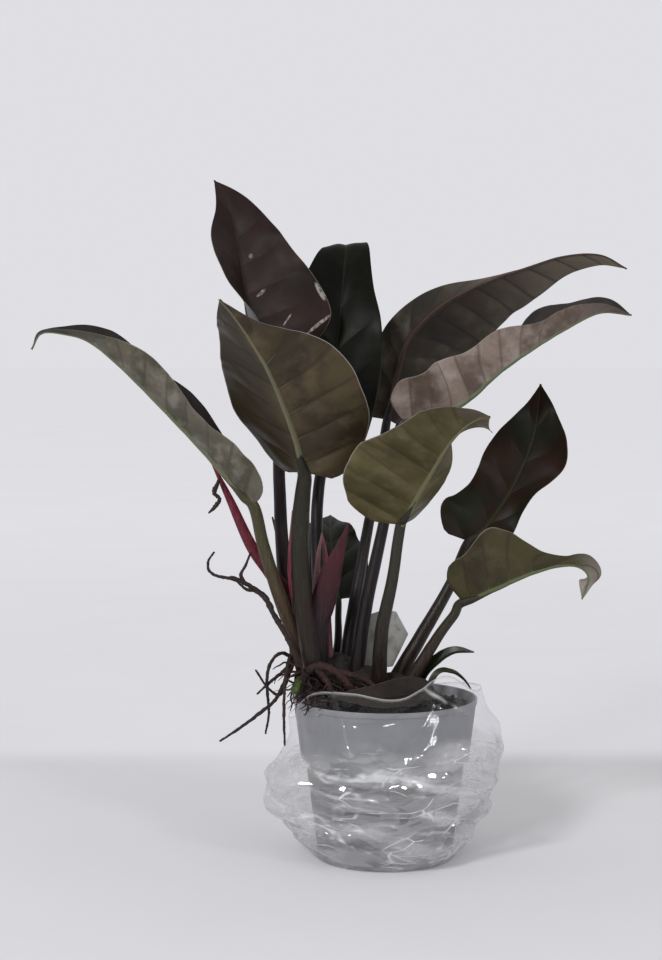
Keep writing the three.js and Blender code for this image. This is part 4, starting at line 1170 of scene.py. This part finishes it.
def wrap_shape(rows=112, sides=420, thickness=0.4):
    """The film's two walls and its foot. Its field holds how creased it is and how low it lies."""
    around = np.linspace(0, 2 * np.pi, sides, endpoint=False)
    share, angle = np.meshgrid(np.linspace(0, 1, rows), around, indexing="ij")
    turn = angle / (2 * np.pi)
    z = FILM_START + (along(FILM_EDGE, turn) - FILM_START) * share
    fall = np.minimum(1, share * 5) * np.minimum(1, (1.08 - share) * 2.4)
    folds = 2.4 * np.sin(5 * angle + 9 * share) + 1.8 * np.sin(9 * angle - 14 * share)
    tucks = 2.2 * np.sin(34 * share + 3 * np.sin(2 * angle))
    lean = along(FILM_LEAN, share) * np.cos(angle)
    radius = along(FILM_RADIUS, share) + lean + fall * (folds + tucks)
    place = np.stack([130 * np.cos(angle), 130 * np.sin(angle), z], axis=-1)
    low = 1 - smooth(0.6, 0.74, share + 0.05 * noise(place, 60, 9))
    push = crumple(place, turn, LOW_FOLDS, 1) * low + crumple(place, turn, HIGH_FOLDS, 21) * (1 - low)
    push += tense(place)
    radius = radius + np.minimum(1, share * 9) * push
    radius = np.where(z > RIM_BELOW, np.maximum(radius, RIM_CLEAR), radius)
    bends = np.abs(np.roll(push, 1, axis=1) - 2 * push + np.roll(push, -1, axis=1))
    bends[1:-1] += np.abs(push[2:] - 2 * push[1:-1] + push[:-2])
    for axis in (0, 1):
        bends = (np.roll(bends, 1, axis) + 2 * bends + np.roll(bends, -1, axis)) / 4
    crease = np.maximum(smooth(0.28, 1.1, bends), 0.6 * smooth(0.985, 1, share))
    outer = np.stack([radius * np.cos(angle), radius * np.sin(angle), z], axis=-1)
    flat = np.stack([np.cos(angle[0]), np.sin(angle[0])], axis=-1)
    base = [np.column_stack([flat * r, np.full(sides, height)]) for r, height in FILM_FOOT]
    outer = np.concatenate([np.array(base), outer])
    crease = np.concatenate([np.zeros((len(base), sides)), crease])
    sideways = np.roll(outer, -1, axis=1) - np.roll(outer, 1, axis=1)
    normal = unit(np.cross(sideways, np.gradient(outer, axis=0)))
    inner = outer - normal * thickness
    inner[..., 2] = np.maximum(inner[..., 2], 0.3)
    walls = np.concatenate([outer, inner[::-1]])
    count = len(walls)
    quads = grid_faces(count, sides, closed=True).tolist()
    last = (count - 1) * sides
    close = [[last + k, last + (k + 1) % sides, (k + 1) % sides, k] for k in range(sides)]
    low = np.concatenate([np.ones((len(base), sides)), low])
    field = np.stack([crease, low, low * 0], axis=-1)
    return walls.reshape(-1, 3), quads + close, np.concatenate([field, field[::-1]]).reshape(-1, 3)


def film_look():
    """Clear film: see-through, milky along its creases, with small flat facets that catch the light.
    The field run holds how creased it is, and 1 low down to 0 at the top."""
    look = Look("film")
    parts = look.field("run")
    crease, low = parts[0], parts[1]
    drift = look.node("ShaderNodeTexNoise")
    drift.inputs["Scale"].default_value = 14.0
    look.links.new(look.place, drift.inputs["Vector"])
    warped = look.node("ShaderNodeVectorMath", operation="MULTIPLY_ADD")
    look.feed(warped.inputs[0], drift.outputs["Color"])
    warped.inputs[1].default_value = (0.03, 0.03, 0.03)
    look.feed(warped.inputs[2], look.place)

    def cells(stretch, feature, output):
        made = look.node("ShaderNodeTexVoronoi", feature=feature)
        made.inputs["Scale"].default_value = 1.0
        look.feed(made.inputs["Vector"], look.stretched(stretch, warped.outputs[0]))
        return made.outputs[output]

    # Thin pale lines where the cells of a wide net and a tight one meet
    wide, tight = (12.0, 12.0, 46.0), (26.0, 26.0, 80.0)
    lines = look.most(
        look.step(cells(wide, "DISTANCE_TO_EDGE", "Distance"), 0.0, 0.03, 0.9, 0.0),
        look.step(cells(tight, "DISTANCE_TO_EDGE", "Distance"), 0.0, 0.035, 0.1, 0.0),
    )
    dimmed = look.step(look.noise(22.0, 3.0, 0.5), 0.45, 0.6, 0.0, 1.0)
    lines = look.times(look.times(lines, low), dimmed)
    cloud = look.step(look.noise(1.0, 3.0, 0.5, stretch=(12.0, 12.0, 34.0)), 0.42, 0.7, 0.03, 0.36)
    milky = look.plus(look.times(crease, 0.75), look.times(cloud, low))
    milky = look.plus(look.plus(milky, lines), look.times_plus(low, 0.035, 0.003))
    # Low down each cell of the tight net is tilted its own way
    tilt = look.node("ShaderNodeVectorMath", operation="MULTIPLY_ADD")
    look.feed(tilt.inputs[0], cells(tight, "F1", "Color"))
    look.feed(tilt.inputs[1], look.times(low, 1.1))
    look.feed(tilt.inputs[2], look.node("ShaderNodeNewGeometry").outputs["Normal"])
    centre = look.node("ShaderNodeVectorMath", operation="MULTIPLY_ADD")
    look.feed(centre.inputs[0], look.times(low, -0.55))
    centre.inputs[1].default_value = (1, 1, 0.3)
    look.feed(centre.inputs[2], tilt.outputs[0])
    level = look.node("ShaderNodeVectorMath", operation="NORMALIZE")
    look.feed(level.inputs[0], centre.outputs[0])
    clear = look.node("ShaderNodeBsdfTransparent")
    clear.inputs["Color"].default_value = (0.99, 0.99, 0.995, 1)
    gloss = look.node("ShaderNodeBsdfGlossy")
    gloss.inputs["Roughness"].default_value = 0.08
    look.feed(gloss.inputs["Normal"], level.outputs[0])
    front = look.node("ShaderNodeBsdfDiffuse")
    through = look.node("ShaderNodeBsdfTranslucent")
    for shader in (front, through):
        shader.inputs["Color"].default_value = (0.95, 0.955, 0.965, 1)
    edge_on = look.node("ShaderNodeLayerWeight").outputs["Facing"]
    always = look.times_plus(low, 0.12, 0.015)
    shine = look.times_plus(look.math("POWER", edge_on, 4.0), 0.25, always)
    haze, coat, all_of_it = (look.node("ShaderNodeMixShader") for k in range(3))
    for mixed, share, first, second in (
        (haze, 0.5, front, through), (coat, shine, clear, gloss), (all_of_it, milky, coat, haze),
    ):
        look.feed(mixed.inputs[0], share)
        look.links.new(first.outputs[0], mixed.inputs[1])
        look.links.new(second.outputs[0], mixed.inputs[2])
    look.links.new(all_of_it.outputs[0], look.nodes["Material Output"].inputs["Surface"])
    return look.material


piece("film_wrap", wrap_shape(), film_look(), ["clear_wrap"])

# Stage and lights

FLOOR_HALF = 60
# Where the floor begins to glow: how far behind the pot, and how far from it on all sides, in metres
GLOW_BEHIND = (0.5, 0.64)
GLOW_AWAY = (1.7, 3.4)


def stage():
    """A wide pale floor that glows a little from just behind the pot on and far off, as its own
    backdrop."""
    mesh = bpy.data.meshes.new("floor")
    corners = [(x * FLOOR_HALF, y * FLOOR_HALF, 0) for x, y in ((-1, -1), (1, -1), (1, 1), (-1, 1))]
    mesh.from_pydata(corners, [], [(0, 1, 2, 3)])
    floor = placed("floor", mesh)
    look = Look("floor", roughness=0.9, Specular_IOR_Level=0.0)
    parts = look.node("ShaderNodeSeparateXYZ")
    look.links.new(look.place, parts.inputs[0])
    paper = look.step(look.noise(3.0, 4.0, 0.6), 0.3, 0.7, 0.0, 0.06)
    away = look.node("ShaderNodeVectorMath", operation="LENGTH")
    look.links.new(look.place, away.inputs[0])
    behind = look.step(parts.outputs[1], *GLOW_BEHIND)
    beyond = look.most(behind, look.step(away.outputs["Value"], *GLOW_AWAY))
    color = look.mix(paper, look.mix(beyond, "e6e5e9", "97979c"), "c8c8cc")
    look.shader.inputs["Emission Color"].default_value = (0.97, 0.96, 1, 1)
    glow = look.step(parts.outputs[1], GLOW_BEHIND[0], 5.0, 0.47, 0.56)
    look.feed(look.shader.inputs["Emission Strength"], look.times(beyond, glow))
    mesh.materials.append(look.finish(color))


def lamp(name, place, target, size, power):
    """A square lamp that points at the target, with a size in metres and a power in watts."""
    data = bpy.data.lights.new(name, "AREA")
    data.shape = "RECTANGLE"
    data.size = data.size_y = size
    data.energy = power
    thing = placed(name, data)
    thing.location = place
    way = Vector(target) - Vector(place)
    thing.rotation_euler = way.to_track_quat("-Z", "Y").to_euler()
    thing.visible_camera = False


def surroundings():
    """Pale all round for the camera. What lights the plant is bright above and behind, and dimmer
    in front."""
    world = bpy.data.worlds.new("studio")
    world.use_nodes = True
    bpy.context.scene.world = world
    nodes, links = world.node_tree.nodes, world.node_tree.links
    back = nodes["Background"]
    way = nodes.new("ShaderNodeTexCoord")
    aim = nodes.new("ShaderNodeVectorMath")
    aim.operation = "DOT_PRODUCT"
    aim.inputs[1].default_value = (0, 0.6, 0.8)
    links.new(way.outputs["Generated"], aim.inputs[0])
    ramp = nodes.new("ShaderNodeMapRange")
    links.new(aim.outputs["Value"], ramp.inputs[0])
    for socket, value in zip(ramp.inputs[1:5], (-0.6, 0.3, 0.05, 0.62)):
        socket.default_value = value
    shade = nodes.new("ShaderNodeCombineColor")
    for socket in shade.inputs:
        links.new(ramp.outputs[0], socket)
    seen = nodes.new("ShaderNodeLightPath")
    pick = nodes.new("ShaderNodeMix")
    pick.data_type = "RGBA"
    links.new(seen.outputs["Is Camera Ray"], pick.inputs[0])
    links.new(shade.outputs[0], pick.inputs[6])
    pick.inputs[7].default_value = linear("dfdfe4")
    links.new(pick.outputs[2], back.inputs["Color"])


stage()
lamp("key", (-2.8, -4.6, 3.7), (0, 0, 0.42), 1.0, 175)
lamp("fill", (3.3, -4.3, 2.6), (0, 0, 0.4), 0.8, 50)
surroundings()
bpy.context.scene.view_settings.view_transform = "Standard"
